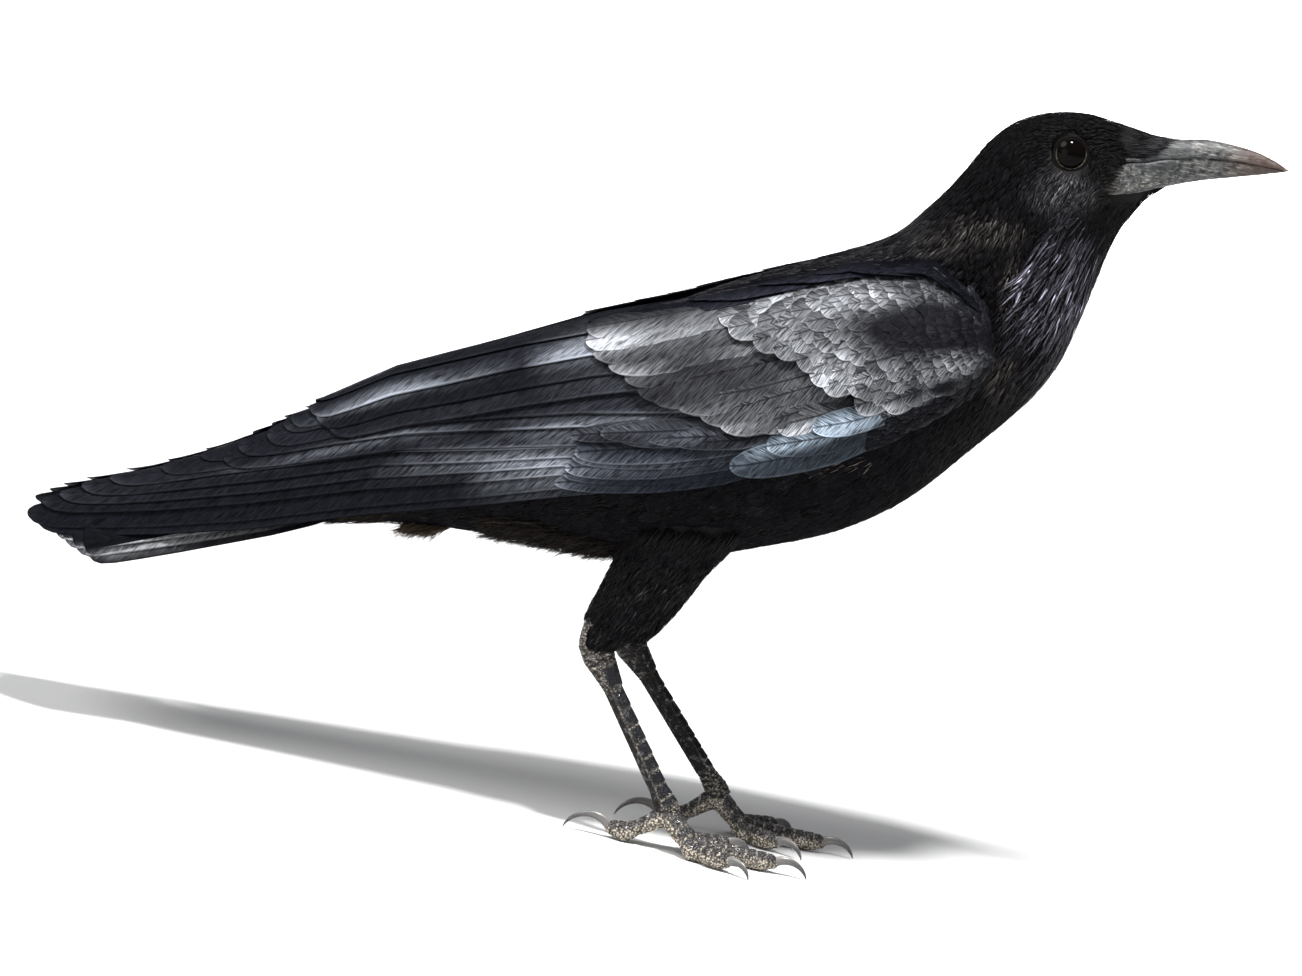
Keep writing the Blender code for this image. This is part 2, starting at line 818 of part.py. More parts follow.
def toe_axis(leg, along):
    """Height of the toe's middle line above the ground, along mm from the joint."""
    return mix(leg.joint.z - 2.5, TOE_REST, smooth(along / TOE_DROP))


def toe(leg, name, angle, length):
    start, ahead, across = toe_frame(leg, angle)
    bands = TOE_BANDS[name]
    stops = [(0.0, 0.0)]
    for i in range(bands):
        stops += [((i + 0.14) / bands, -0.2), ((i + 0.86) / bands, 0.3)]
    rings = []
    for s, swell in stops + [(1.0, -0.15)]:
        tall, wide = (mix(a, b, s) + swell for a, b in zip(TOE_ROOT, TOE_END))
        z = toe_axis(leg, s * length)
        middle = start + ahead * (length * s) + Vector((0, 0, z))
        ring = oval(middle, Vector((0, 0, tall)), across * wide, TOE_SIDES)
        low = 0.0 if swell > 0 else 0.45
        for p in ring:
            if p.z < z:
                p.z = max(low, z - (z - p.z) * max(1.0, (z - low) / tall))
        rings.append(ring)
    return loft(f"toe_{name}_{leg.word}", rings)


def claw(leg, name, angle, toe_length, chord, curve):
    """A hooked horn on an arc that ends just clear of the ground."""
    start, ahead, across = toe_frame(leg, angle)
    height, tall, wide = CLAW_ROOT
    root = start + ahead * (toe_length + GAP) + Vector((0, 0, height))
    half = math.radians(curve) / 2
    middle = -math.asin((height - CLAW_CLEAR) / chord)
    radius = chord / (2 * math.sin(half))
    rings = []
    for k in range(CLAW_STEPS + 1):
        s = k / CLAW_STEPS
        a = middle + half * (1 - 2 * s)
        forward = radius * (math.sin(middle + half) - math.sin(a))
        rise = radius * (math.cos(a) - math.cos(middle + half))
        point = root + ahead * forward + Vector((0, 0, rise))
        up = Vector((0, 0, math.cos(a))) - ahead * math.sin(a) if k else Vector((0, 0, 1))
        share = (1 - s) ** 0.75 * 0.9 + 0.1
        ring = oval(point, up * tall * share, across * wide * share, 6)
        for p in ring:
            p.z = max(p.z, CLAW_CLEAR / 2)
        rings.append(ring)
    return loft(f"claw_{name}_{leg.word}", rings)


def foot(leg):
    toes = [toe(leg, name, angle, length) for name, angle, length, _, _ in TOES]
    toes[0].name = f"foot_{leg.word}"
    fuse(toes[0], toes[1:])
    rows = [(back, depth + GAP, width + GAP) for back, depth, width in SHANK_END]
    rows.insert(0, (SHANK_END[0][0] * 2, *rows[0][1:]))
    room = [shank_ring(leg, leg.length + back, depth, width) for back, depth, width in rows]
    room[-1] = [p + leg.down * GAP for p in room[-1]]
    return cut(toes[0], [loft("shank_room", room)])


def make_legs():
    for leg in LEGS:
        shank(leg)
        foot(leg)
        for name, angle, toe_length, chord, curve in TOES:
            claw(leg, name, angle, toe_length, chord, curve)


MATERIALS = {
    "plumage": ((0.012, 0.012, 0.014), 0.55),
    "bill": ((0.06, 0.058, 0.06), 0.5),
    "leg": ((0.02, 0.019, 0.019), 0.4),
    "claw": ((0.035, 0.033, 0.034), 0.35),
    "eye": ((0.01, 0.007, 0.005), 0.05),
}


def slot_of(name):
    for word in ("bill", "claw", "eye"):
        if name.startswith(word):
            return word
    return "leg" if name.startswith(("shank", "foot")) else "plumage"


def paint(obj):
    colour, roughness = MATERIALS[slot_of(obj.name)]
    material = bpy.data.materials.new(f"{obj.name}_finish")
    material.use_nodes = True
    shader = material.node_tree.nodes["Principled BSDF"]
    shader.inputs["Base Color"].default_value = (*colour, 1.0)
    shader.inputs["Roughness"].default_value = roughness
    obj.data.materials.clear()
    obj.data.materials.append(material)


def centre_on_floor(objects):
    """Puts the origin at the middle of the whole bird's box, on the ground."""
    points = [v.co for obj in objects for v in obj.data.vertices]
    middle = Vector(
        [(min(p[k] for p in points) + max(p[k] for p in points)) / 2 for k in (0, 1)]
        + [min(p.z for p in points)]
    )
    for obj in objects:
        for v in obj.data.vertices:
            v.co -= middle
        print(obj.name, len(obj.data.polygons))
    print("moved by", [round(c / MM, 2) for c in middle])


def take_stance(objects):
    """Tips the body nose up and lifts it over the feet."""
    for obj in objects:
        for v in obj.data.vertices:
            v.co = to_world(v.co / MM) * MM


for stale in list(bpy.data.objects):
    bpy.data.objects.remove(stale)
body_loft("torso", TAIL_CUT, NECK_CUT, TORSO_STEPS)
body_loft("neck", NECK_CUT, HEAD_CUT, NECK_STEPS)
make_head()
make_bill()
eye_lens("eye_right", -1, 0.0)
eye_lens("eye_left", 1, 0.0)
make_wings()
make_tail()
for each in LEGS:
    thigh(each)
take_stance(list(bpy.data.objects))
make_legs()
for thing in bpy.data.objects:
    paint(thing)
centre_on_floor(list(bpy.data.objects))
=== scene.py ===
# %% [markdown]
# # A standing crow
#
# A life-size crow on level ground, seen from its right side.
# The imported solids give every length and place. This script dresses them: one skin under
# a coat of separate feathers, a horn bill, moist eyes, scaled legs and horn claws.
# The body's own frame is in millimetres, with the bill along +X and the back up along +Z.

# %% Load the solids
import math

import bmesh
import bpy
import numpy as np
from mathutils import Matrix, Vector


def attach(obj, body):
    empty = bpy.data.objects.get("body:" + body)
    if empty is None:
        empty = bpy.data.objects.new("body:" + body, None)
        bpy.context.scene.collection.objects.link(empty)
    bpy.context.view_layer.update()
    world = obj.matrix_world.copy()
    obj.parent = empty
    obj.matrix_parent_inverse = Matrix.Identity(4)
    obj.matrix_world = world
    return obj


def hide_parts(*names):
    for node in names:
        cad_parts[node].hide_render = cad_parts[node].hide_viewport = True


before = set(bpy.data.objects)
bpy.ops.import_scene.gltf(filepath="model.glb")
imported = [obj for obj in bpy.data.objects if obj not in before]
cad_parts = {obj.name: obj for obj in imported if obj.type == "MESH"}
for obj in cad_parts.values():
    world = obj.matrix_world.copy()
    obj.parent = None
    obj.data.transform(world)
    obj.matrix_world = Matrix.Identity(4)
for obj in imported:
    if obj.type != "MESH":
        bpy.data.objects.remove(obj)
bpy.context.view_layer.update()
rng = np.random.default_rng(11)
print("solids:", len(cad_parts))

# %% [markdown]
# ## Places
#
# The bird's body is measured in its own level frame and then tipped six degrees, bill up.
# Working in that frame keeps each table short, because the back, the wings and the tail
# all run along it. Two small helpers turn its millimetres into the metres of the scene.

# %% Frames of reference
MM = 0.001
PITCH = math.radians(6.0)
CENTRING = np.array((51.09, 0.0, 0.0))
STANCE = np.array((-0.8, 0.0, 6.9)) + CENTRING


def mix(a, b, s):
    return a + (b - a) * s


def smooth(s):
    s = np.clip(s, 0.0, 1.0)
    return s * s * (3 - 2 * s)


def unit(vectors):
    length = np.linalg.norm(vectors, axis=-1, keepdims=True)
    return vectors / np.maximum(length, 1e-9)


def stand(points):
    """From the body's own frame in mm to the scene in metres."""
    x, y, z = np.moveaxis(np.asarray(points, float), -1, 0)
    c, d = math.cos(PITCH), math.sin(PITCH)
    return (np.stack((x * c - z * d, y, x * d + z * c), -1) + STANCE) * MM


def lie(points):
    """From the ground's frame in mm back to the body's own frame."""
    x, y, z = np.moveaxis(np.asarray(points, float) - STANCE + CENTRING, -1, 0)
    c, d = math.cos(PITCH), math.sin(PITCH)
    return np.stack((x * c + z * d, y, z * c - x * d), -1)


def on_ground(points):
    """From the ground's frame in mm to the scene in metres."""
    return (np.asarray(points, float) + CENTRING) * MM


def catmull(rows, t):
    """Rows of numbers on a smooth curve through the given rows, at t."""
    rows = np.asarray(rows, float)
    t = np.asarray(t, float)
    last = len(rows) - 1
    i = np.clip(np.floor(t).astype(int), 0, last - 1)
    s = (t - i)[..., None]
    a, b, c, d = (rows[np.clip(i + k, 0, last)] for k in (-1, 0, 1, 2))
    curve = (2 * a - 5 * b + 4 * c - d) * s**2 + (3 * b - a - 3 * c + d) * s**3
    return 0.5 * (2 * b + (c - a) * s + curve)


# %% [markdown]
# ## Surfaces
#
# Feathers grow in rows on a surface that bends two ways. Each such surface is a table of
# points with its outward directions, read anywhere between them. It could be a mesh that
# feathers are snapped to, but a table is quick to read for forty thousand feathers, and
# a long quill can run on past its edge.

# %% Surface tables
class Sheet:
    """A surface through a table of points, with the corner and size of its patch of the unwrap."""

    def __init__(self, points, corner, size, ring=False, outward=None):
        self.points = points
        self.corner = np.array(corner)
        self.size = np.array(size)
        self.ring = ring
        self.cells = np.array(points.shape[:2]) - 1
        along = np.gradient(points, axis=0)
        if ring:
            padded = np.concatenate((points[:, -2:-1], points, points[:, 1:2]), 1)
            across = (padded[:, 2:] - padded[:, :-2]) / 2
        else:
            across = np.gradient(points, axis=1)
        self.along = along * self.cells[0]
        self.across = across * self.cells[1]
        normal = unit(np.cross(self.along, self.across))
        away = points - points.mean(1, keepdims=True) if outward is None else outward
        self.normal = normal * np.sign((normal * away).sum())

    def read(self, table, u, v):
        if self.ring:
            v = v % 1.0
        a, b = u * self.cells[0], v * self.cells[1]
        i = np.clip(np.floor(a), 0, self.cells[0] - 1).astype(int)
        j = np.clip(np.floor(b), 0, self.cells[1] - 1).astype(int)
        s, t = (a - i)[..., None], (b - j)[..., None]
        near = mix(table[i, j], table[i, j + 1], t)
        return mix(near, mix(table[i + 1, j], table[i + 1, j + 1], t), s)

    def at(self, u, v, h):
        raised = self.read(self.normal, u, v) * np.asarray(h)[..., None]
        return self.read(self.points, u, v) + raised

    def step(self, u, v, move):
        """The change of u and v that goes along the vector move, in mm."""
        p, q = self.read(self.along, u, v), self.read(self.across, u, v)
        pp, pq, qq = (p * p).sum(-1), (p * q).sum(-1), (q * q).sum(-1)
        mp, mq = (move * p).sum(-1), (move * q).sum(-1)
        det = np.maximum(pp * qq - pq**2, 1e-6)
        return (qq * mp - pq * mq) / det, (pp * mq - pq * mp) / det


# %% [markdown]
# ## The body's form
#
# Stations run from the root of the tail to the base of the bill. Each has a point on the
# back, a point on the underside and a half width, and a slightly boxy ring joins them.
# Round the eye the surface dips into the orbit, where the lids lie.

# %% Body surface
BODY = (
    (-152, 121.0, -160, 107.5, 10.0),
    (-124, 139.0, -130, 103.0, 19.0),
    (-96, 156.0, -98, 102.5, 26.0),
    (-68, 173.0, -69, 100.5, 33.0),
    (-39, 189.0, -40, 98.5, 40.0),
    (-11, 203.0, -12, 101.0, 45.5),
    (17, 214.5, 16, 108.5, 47.5),
    (41, 224.0, 42, 117.0, 47.0),
    (54, 231.0, 66, 131.0, 43.5),
    (62, 239.5, 88, 152.0, 37.5),
    (69, 247.5, 105, 169.5, 32.5),
    (76, 257.0, 117, 187.0, 28.5),
    (83, 267.5, 124, 207.0, 25.5),
    (92, 276.0, 129.5, 225.5, 23.0),
    (104, 280.7, 135, 240.5, 20.5),
    (117, 282.0, 141, 249.5, 15.0),
    (127, 280.4, 143, 252.4, 11.0),
    (134, 278.4, 145, 254.2, 8.8),
    (140.2, 276.4, 146.4, 255.4, 7.3),
)
LAST = len(BODY) - 1
BOXINESS = 2.15
BODY_ROWS = 361
BODY_COLUMNS = 145
# A point is inside the body only if a station's line runs this near to it
STATION_NEAR = 4


def body_table():
    """Slightly boxy rings from station to station."""
    t = np.linspace(0, LAST, BODY_ROWS)
    bx, bz, ux, uz, w = catmull(BODY, t).T
    angle = np.linspace(0, 2 * math.pi, BODY_COLUMNS)
    c, s = np.cos(angle), np.sin(angle)
    c = np.sign(c) * np.abs(c) ** (2 / BOXINESS)
    s = np.sign(s) * np.abs(s) ** (2 / BOXINESS)
    zero = np.zeros_like(bx)
    middle = np.stack((bx + ux, zero, bz + uz), -1) / 2
    half = np.stack((bx - ux, zero, bz - uz), -1) / 2
    side = np.stack((zero, w, zero), -1)
    return middle[:, None] + half[:, None] * c[:, None] + side[:, None] * s[:, None]


def body_side(x, z, power=2.0):
    """Half width of the body at each x and z, or 0 outside it."""
    t = np.linspace(0, LAST, 181)
    bx, bz, ux, uz, w = catmull(BODY, t).T
    dx, dz = ux - bx, uz - bz
    length = np.hypot(dx, dz)
    x, z = np.asarray(x, float)[..., None], np.asarray(z, float)[..., None]
    f = ((x - bx) * dx + (z - bz) * dz) / length**2
    off = np.abs((x - bx) * dz - (z - bz) * dx) / length
    off = np.where((f > 0) & (f < 1), off, 1e9)
    best = off.argmin(-1)
    f = np.take_along_axis(f, best[..., None], -1)[..., 0]
    near = np.take_along_axis(off, best[..., None], -1)[..., 0]
    half = w[best] * np.maximum(0.0, 1 - np.abs(2 * f - 1) ** power) ** (1 / power)
    return np.where(near < STATION_NEAR, half, 0.0)


EYE = np.array((113.2, 0.0, 268.4))
EYE_LOOK = np.array((0.13, 1.0, 0.05))
EYE_RADIUS = 7.6
EYE_VIEW = 5.9
EYE_DEPTH = 5.7
# The orbit is a dip round the eye, which fades out towards its edge
ORBIT_EDGE, ORBIT_FADE, ORBIT_DEPTH = 11.5, 5.0, 1.9
BODY_PATCH = ((0.02, 0.02), (0.56, 0.46))


def eye_frame(side):
    """The eye's centre, and the way it looks."""
    look = unit(EYE_LOOK * (1, side, 1))
    surface = float(body_side(EYE[0], EYE[2]))
    return EYE + (0, side * surface, 0) - look * EYE_DEPTH, look


def eye_distance(points):
    """How far each point is from the nearer eye's line of sight."""
    best = np.full(points.shape[:-1], 1e9)
    for side in (-1, 1):
        centre, look = eye_frame(side)
        off = points - centre
        ahead = off @ look
        away = np.linalg.norm(off - ahead[..., None] * look, axis=-1)
        best = np.minimum(best, np.where(ahead > 0, away, 1e9))
    return best


body = Sheet(body_table(), *BODY_PATCH, ring=True)
orbit = ORBIT_DEPTH * smooth((ORBIT_EDGE - eye_distance(body.points)) / ORBIT_FADE)
body = Sheet(body.points - body.normal * orbit[..., None], *BODY_PATCH, ring=True)
print("body table:", body.points.shape[:2])

# %% [markdown]
# ## The folded wing's form
#
# A folded wing wraps the flank from near the back down to the belly's edge, so its surface
# is a set of hoops round the body, each with an upper and a lower angle. It clears the body
# by a few millimetres and runs on behind it as the stack of long quills.

# %% Wing surfaces
HOOPS = (
    (93.5, -18, 196, 22, 14, 82, 98),
    (91.5, -14, 196, 27, 24, 74, 104),
    (88, -10, 196, 32, 30, 64, 116),
    (80, -4, 194, 40, 40, 56, 121),
    (66, 0, 186, 46, 50, 40, 118),
    (41, 0, 171, 51, 56, 27, 113),
    (5, 0, 157, 51, 56, 21, 112),
    (-25, 0, 147, 48, 54, 16, 107),
    (-57, -1, 136, 42, 54, 8, 99),
    (-84, -2, 127, 37, 52, 4, 94),
    (-106, -3, 121, 33, 49, 2, 91),
    (-128, -3, 117, 30, 44.5, 1, 90),
    (-158, -4, 108.5, 27, 35.5, 1, 90),
    (-194, -4, 102, 23, 23, 2, 90),
    (-214, -4, 98.5, 20, 18, 2, 90),
    (-262, -4, 92, 16, 9, 2, 90),
)
WING_CLEARANCE = 2.6
WING_FREE = -110
WING_SEARCH, WING_HALVINGS, WING_SMOOTHINGS = 12, 14, 3
WING_FRONT, WING_REAR = HOOPS[0][0], HOOPS[-1][0]
WING_ROWS, WING_COLUMNS = 238, 49
# The stretch of the body that the wings lie on
WING_OVER = (-140, 86)


def hoops_at(x):
    """The hoop's columns at each x."""
    rows = np.array(HOOPS)[::-1]
    return [np.interp(x, rows[:, 0], rows[:, k]) for k in range(1, 7)]


def wing_table():
    """Hoops that clear the body. Behind WING_FREE the wing has no body under it."""
    x = np.linspace(WING_FRONT, WING_REAR, WING_ROWS)[:, None]
    v = np.linspace(0, 1, WING_COLUMNS)[None]
    yc, zc, a, b, top, low = hoops_at(x)
    angle = np.radians(mix(top, low, v))
    dy, dz = -np.sin(angle), np.cos(angle)
    r = 1 / np.hypot(dy / a, dz / b)
    near, far = np.zeros_like(r), r + WING_SEARCH
    for _ in range(WING_HALVINGS):
        half = (near + far) / 2
        inside = np.abs(yc + dy * half) < body_side(x + 0 * half, zc + dz * half)
        near, far = np.where(inside, half, near), np.where(inside, far, half)
    r = np.maximum(r, np.where(x > WING_FREE, far + WING_CLEARANCE, 0.0))
    for _ in range(WING_SMOOTHINGS):
        r[1:-1] = (r[:-2] + 2 * r[1:-1] + r[2:]) / 4
    return np.stack((x + 0 * r, yc + dy * r, zc + dz * r), -1)


def wing_place(places):
    """From x and v on the wing to its table's u and v."""
    places = np.array(places, float)
    places[..., 0] = (WING_FRONT - places[..., 0]) / (WING_FRONT - WING_REAR)
    return places


MIRROR = np.array((1.0, -1.0, 1.0))
right_points = wing_table()
wings = {
    "right": Sheet(right_points, (0.02, 0.50), (0.46, 0.23)),
    "left": Sheet(right_points * MIRROR, (0.52, 0.50), (0.46, 0.23)),
}


def under_wing(points, margin):
    """Which points of the body the folded wings hide."""
    x, y, z = np.moveaxis(points, -1, 0)
    yc, zc, _, _, top, low = hoops_at(x)
    angle = np.degrees(np.arctan2(np.abs(y) + yc, z - zc))
    share = (angle - top) / (low - top)
    return (share > margin) & (share < 1 - margin) & (x > WING_OVER[0]) & (x < WING_OVER[1])


print("wing table:", right_points.shape[:2])

# %% [markdown]
# ## The thighs' form
#
# The bare shank begins at the heel. Above it the leg is a feathered cone that grows out of
# the flank, so its table runs from the hip to the heel in ovals.

# %% Thigh surfaces
LEGS = {
    "right": {"side": -1, "heel": (-49.5, -26, 69.0), "joint": (-10.5, -26, 15.0), "turn": 0},
    "left": {"side": 1, "heel": (-38.5, 26, 65.5), "joint": (7.0, 26, 15.8), "turn": -6},
}
HIP = np.array((-10.5, 24.0, 117.0))
THIGH = (
    (0.0, 21.0, 14.5),
    (0.28, 19.0, 14.0),
    (0.52, 16.0, 12.0),
    (0.76, 13.0, 9.5),
    (0.93, 9.5, 7.2),
    (1.0, 6.6, 4.9),
)


def thigh_table(leg):
    share, half, width = catmull(THIGH, np.linspace(0, len(THIGH) - 1, 61)).T
    hip = HIP * (1, leg["side"], 1)
    heel = lie(np.array(leg["heel"], float))
    middle = hip + (heel - hip) * share[:, None]
    angle = np.linspace(0, 2 * math.pi, 49)
    zero = np.zeros_like(half)
    depth = np.stack((half, zero, zero), -1)[:, None] * np.cos(angle)[:, None]
    across = np.stack((zero, width, zero), -1)[:, None] * np.sin(angle)[:, None]
    return middle[:, None] + depth + across


thighs = {
    word: Sheet(thigh_table(leg), (0.60 + 0.2 * k, 0.02), (0.18, 0.20), ring=True)
    for k, (word, leg) in enumerate(LEGS.items())
}
print("thighs:", list(thighs))

# %% [markdown]
# ## The tail's form
#
# Twelve tail feathers lie in a closed stack, the middle pair on top. Each is nearly flat,
# so it gets a small sheet of its own, a little lower and further out than the one above.

# %% Tail surfaces
TAIL_ROOT = np.array((-132.0, 0.0, 117.0))
TAIL_TIP = np.array((-252.0, 0.0, 92.5))
TAIL_FEATHERS = 6
TAIL_WIDTH = 20.0
TAIL_MIDDLE = 4.5
TAIL_GRADE = 17
# How far each feather is turned outwards, and how far its outer edge lies below the middle
TAIL_ROLLS = (6, 22, 34, 45, 55, 63)
TAIL_EDGES = (-2.6, -5.6, -8.4, -11.0, -13.4, -15.6)
TAIL_TUCK = 0.35


def tail_places():
    """Where each feather's middle line ends: each just inside the edge of the one above."""
    places = []
    for roll, edge in zip(np.radians(TAIL_ROLLS), TAIL_EDGES):
        z = edge + TAIL_WIDTH / 2 * math.sin(roll)
        y = edge_y - TAIL_TUCK - (z - last_edge) / math.tan(roll) if places else TAIL_MIDDLE
        edge_y, last_edge = y + TAIL_WIDTH / 2 * math.cos(roll), edge
        places.append((y, z, roll))
    return places


def tail_end(i):
    """How far back each feather reaches, the outer ones less."""
    return TAIL_TIP[0] + TAIL_GRADE * (i / (TAIL_FEATHERS - 1)) ** 1.4


def tail_sheet(side, i):
    """The plane of one tail feather, counted from the middle."""
    y, z, roll = tail_places()[i]
    root = TAIL_ROOT + (0, side * 0.45 * y, 0.35 * z)
    tip = np.array((tail_end(i), side * y, TAIL_TIP[2] + z))
    out = np.array((0, side * math.cos(roll), -math.sin(roll)))
    up = np.array((0, side * math.sin(roll), math.cos(roll)))
    s = np.linspace(0, 1, 9)[:, None, None]
    across = np.linspace(-0.5, 0.5, 3)[None, :, None] * TAIL_WIDTH
    level = (-0.25 if side < 0 and i == 0 else 0.0) - 2.2 * s * (1 - s)
    points = root + (tip - root) * s + out * across + up * level
    corner = (0.60 + 0.06 * i, 0.26 if side < 0 else 0.37)
    return Sheet(points, corner, (0.05, 0.10), outward=up)


# %% [markdown]
# ## The skin
#
# Under the feathers is one continuous skin over the body, the folded arms, the thighs and
# the root of the tail. It is made from the surface tables, sunk by the depth of the coat,
# fused into a single closed mesh and smoothed, so that no seam can show between feathers.

# %% Skin
COAT_DEPTH = 1.7
HEAD_COAT_DEPTH = 0.7
HEAD_COAT = (0.62, 0.12)
# The folded arm under the wing's coverts: where its hoops are, and how deep it lies at the
# shoulder and at the tail
ARM_HOOPS = np.array((90, 87, 82, 74, 60, 44, 26, 6, -14, -34, -56, -80, -104, -126, -148))
ARM_OUTER, ARM_INNER = (-1.4, -3.6), (-8.0, -6.4)
ARM_SPAN = np.linspace(0.06, 0.94, 12)
SKIN_VOXEL = 0.002
# Share of the thigh that is feathered all round, above the bare heel
SKIN_THIGH = 0.8


def add_tube(bm, rings, joined=False):
    """A grid wrapped into a tube through rings of points, its ends capped or joined."""
    rings = np.asarray(rings)
    table = np.concatenate((rings, rings[:, :1]), 1)
    if joined:
        table = np.concatenate((table, table[:1]))
    rows, columns = table.shape[:2]
    made = bmesh.ops.create_grid(bm, x_segments=columns - 1, y_segments=rows - 1, size=1.0)["verts"]
    made.sort(key=lambda vert: (round(vert.co.y, 5), vert.co.x))
    for vert, place in zip(made, table.reshape(-1, 3)):
        vert.co = place
    grid = [made[k * columns:(k + 1) * columns] for k in range(rows)]
    around = rows - 1 if joined else rows
    seam = {
        grid[i][j]: grid[i % around][j % (columns - 1)]
        for i in range(rows) for j in range(columns) if i >= around or j == columns - 1
    }
    bmesh.ops.weld_verts(bm, targetmap=seam)
    if not joined:
        bm.faces.new(grid[0][-2::-1])
        bm.faces.new(grid[-1][:-1])


def new_object(name, mesh):
    obj = bpy.data.objects.new(name, mesh)
    bpy.context.scene.collection.objects.link(obj)
    return obj


def finished(bm, name):
    """The object that holds a finished mesh, its faces turned outwards."""
    bmesh.ops.recalc_face_normals(bm, faces=bm.faces[:])
    mesh = bpy.data.meshes.new(name)
    bm.to_mesh(mesh)
    bm.free()
    mesh.shade_smooth()
    return new_object(name, mesh)


def tube_object(name, rings, joined=False):
    """A closed smooth piece through rings of points in metres."""
    bm = bmesh.new()
    add_tube(bm, rings, joined)
    return finished(bm, name)


def with_modifiers(obj):
    """The object's mesh with its modifiers carried out."""
    graph = bpy.context.evaluated_depsgraph_get()
    made = bpy.data.meshes.new_from_object(obj.evaluated_get(graph))
    obj.modifiers.clear()
    old, obj.data = obj.data, made
    bpy.data.meshes.remove(old)
    made.name = obj.name
    return obj


def paint(mesh, tones):
    """A colour for each point, which the material reads."""
    tones = np.asarray(tones).reshape(-1, 3)
    tones = np.concatenate((tones, np.ones((len(tones), 1))), 1)
    mesh.attributes.new("tone", "FLOAT_COLOR", "POINT").data.foreach_set("color", tones.ravel())


def fit_out(obj, finish, nodes):
    """Its material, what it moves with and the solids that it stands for."""
    obj.data.materials.append(finish)
    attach(obj, "root")
    if nodes:
        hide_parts(*nodes)


def arm_hoop(sheet, x):
    """One closed hoop of the folded arm: out along its outer side and back along its inner."""
    place = wing_place([(x, across) for across in ARM_SPAN]).T
    outer = np.full(len(ARM_SPAN), mix(*ARM_OUTER, smooth((20 - x) / 50)))
    inner = np.full(len(ARM_SPAN), mix(*ARM_INNER, smooth((60 - x) / 150)))
    return np.concatenate((sheet.at(*place, outer), sheet.at(*place[:, ::-1], inner)))


def make_skin():
    bm = bmesh.new()
    u, v = np.meshgrid(np.linspace(0, 1, 91), np.arange(48) / 48, indexing="ij")
    depth = mix(COAT_DEPTH, HEAD_COAT_DEPTH, smooth((u - HEAD_COAT[0]) / HEAD_COAT[1]))
    add_tube(bm, stand(body.at(u, v, -depth)))
    for sheet in wings.values():
        add_tube(bm, stand([arm_hoop(sheet, x) for x in ARM_HOOPS]))
    u, v = np.meshgrid(np.linspace(0, SKIN_THIGH, 20), np.arange(24) / 24, indexing="ij")
    for sheet in thighs.values():
        add_tube(bm, stand(sheet.at(u, v, np.full(u.shape, -COAT_DEPTH))))
    obj = finished(bm, "skin")
    remesh = obj.modifiers.new("fuse", "REMESH")
    remesh.mode = "VOXEL"
    remesh.voxel_size = SKIN_VOXEL
    remesh.use_smooth_shade = True
    relax = obj.modifiers.new("relax", "SMOOTH")
    relax.factor = 0.5
    relax.iterations = 3
    return with_modifiers(obj)


skin = make_skin()
print("skin faces:", len(skin.data.polygons))

# %% [markdown]
# ## Materials
#
# A feather is a shaft with fine barbs that leave it at a slant. They could be drawn on an
# image, but here they come from two numbers that every vane carries: how far a point is
# across it and along it. Stripes in a slanted mix of the two give barbs that stay sharp on
# every feather, in colour, gloss and height.

# %% Material helpers
def new_material(name):
    material = bpy.data.materials.new(name)
    material.use_nodes = True
    tree = material.node_tree
    return material, tree, tree.nodes["Principled BSDF"]


def put(tree, value, socket):
    """A number, a colour or another node's output into a socket."""
    if isinstance(value, (int, float)):
        socket.default_value = value
    elif isinstance(value, tuple):
        socket.default_value = (*value, 1.0)
    else:
        tree.links.new(value, socket)


def dress(tree, shader, colour, roughness, specular, tint=None):
    put(tree, colour, shader.inputs["Base Color"])
    put(tree, roughness, shader.inputs["Roughness"])
    put(tree, specular, shader.inputs["Specular IOR Level"])
    if tint:
        put(tree, tint, shader.inputs["Specular Tint"])


def math_node(tree, operation, *values):
    node = tree.nodes.new("ShaderNodeMath")
    node.operation = operation
    for socket, value in zip(node.inputs, values):
        put(tree, value, socket)
    return node.outputs[0]


def ramp(tree, value, low, high, bottom=0.0, top=1.0):
    node = tree.nodes.new("ShaderNodeMapRange")
    node.interpolation_type = "SMOOTHSTEP"
    tree.links.new(value, node.inputs["Value"])
    for word, number in (("From Min", low), ("From Max", high), ("To Min", bottom), ("To Max", top)):
        node.inputs[word].default_value = number
    return node.outputs["Result"]


def blend_colour(tree, factor, a, b, mode="MIX"):
    node = tree.nodes.new("ShaderNodeMix")
    node.data_type = "RGBA"
    node.blend_type = mode
    for value, socket in ((factor, node.inputs[0]), (a, node.inputs[6]), (b, node.inputs[7])):
        put(tree, value, socket)
    return node.outputs[2]


def noise(tree, vector, scale, detail=3.0, roughness=0.5):
    node = tree.nodes.new("ShaderNodeTexNoise")
    for word, value in (("Scale", scale), ("Detail", detail), ("Roughness", roughness), ("Vector", vector)):
        put(tree, value, node.inputs[word])
    return node.outputs["Fac"]


def combine(tree, *values):
    node = tree.nodes.new("ShaderNodeCombineXYZ")
    for socket, value in zip(node.inputs, values):
        put(tree, value, socket)
    return node.outputs[0]


def separate(tree, vector):
    node = tree.nodes.new("ShaderNodeSeparateXYZ")
    tree.links.new(vector, node.inputs[0])
    return node.outputs


def attribute(tree, name, output):
    node = tree.nodes.new("ShaderNodeAttribute")
    node.attribute_name = name
    return node.outputs[output]


def object_place(tree):
    return tree.nodes.new("ShaderNodeTexCoord").outputs["Object"]


def bump(tree, shader, height, strength, distance):
    node = tree.nodes.new("ShaderNodeBump")
    node.inputs["Strength"].default_value = strength
    node.inputs["Distance"].default_value = distance
    tree.links.new(height, node.inputs["Height"])
    tree.links.new(node.outputs["Normal"], shader.inputs["Normal"])


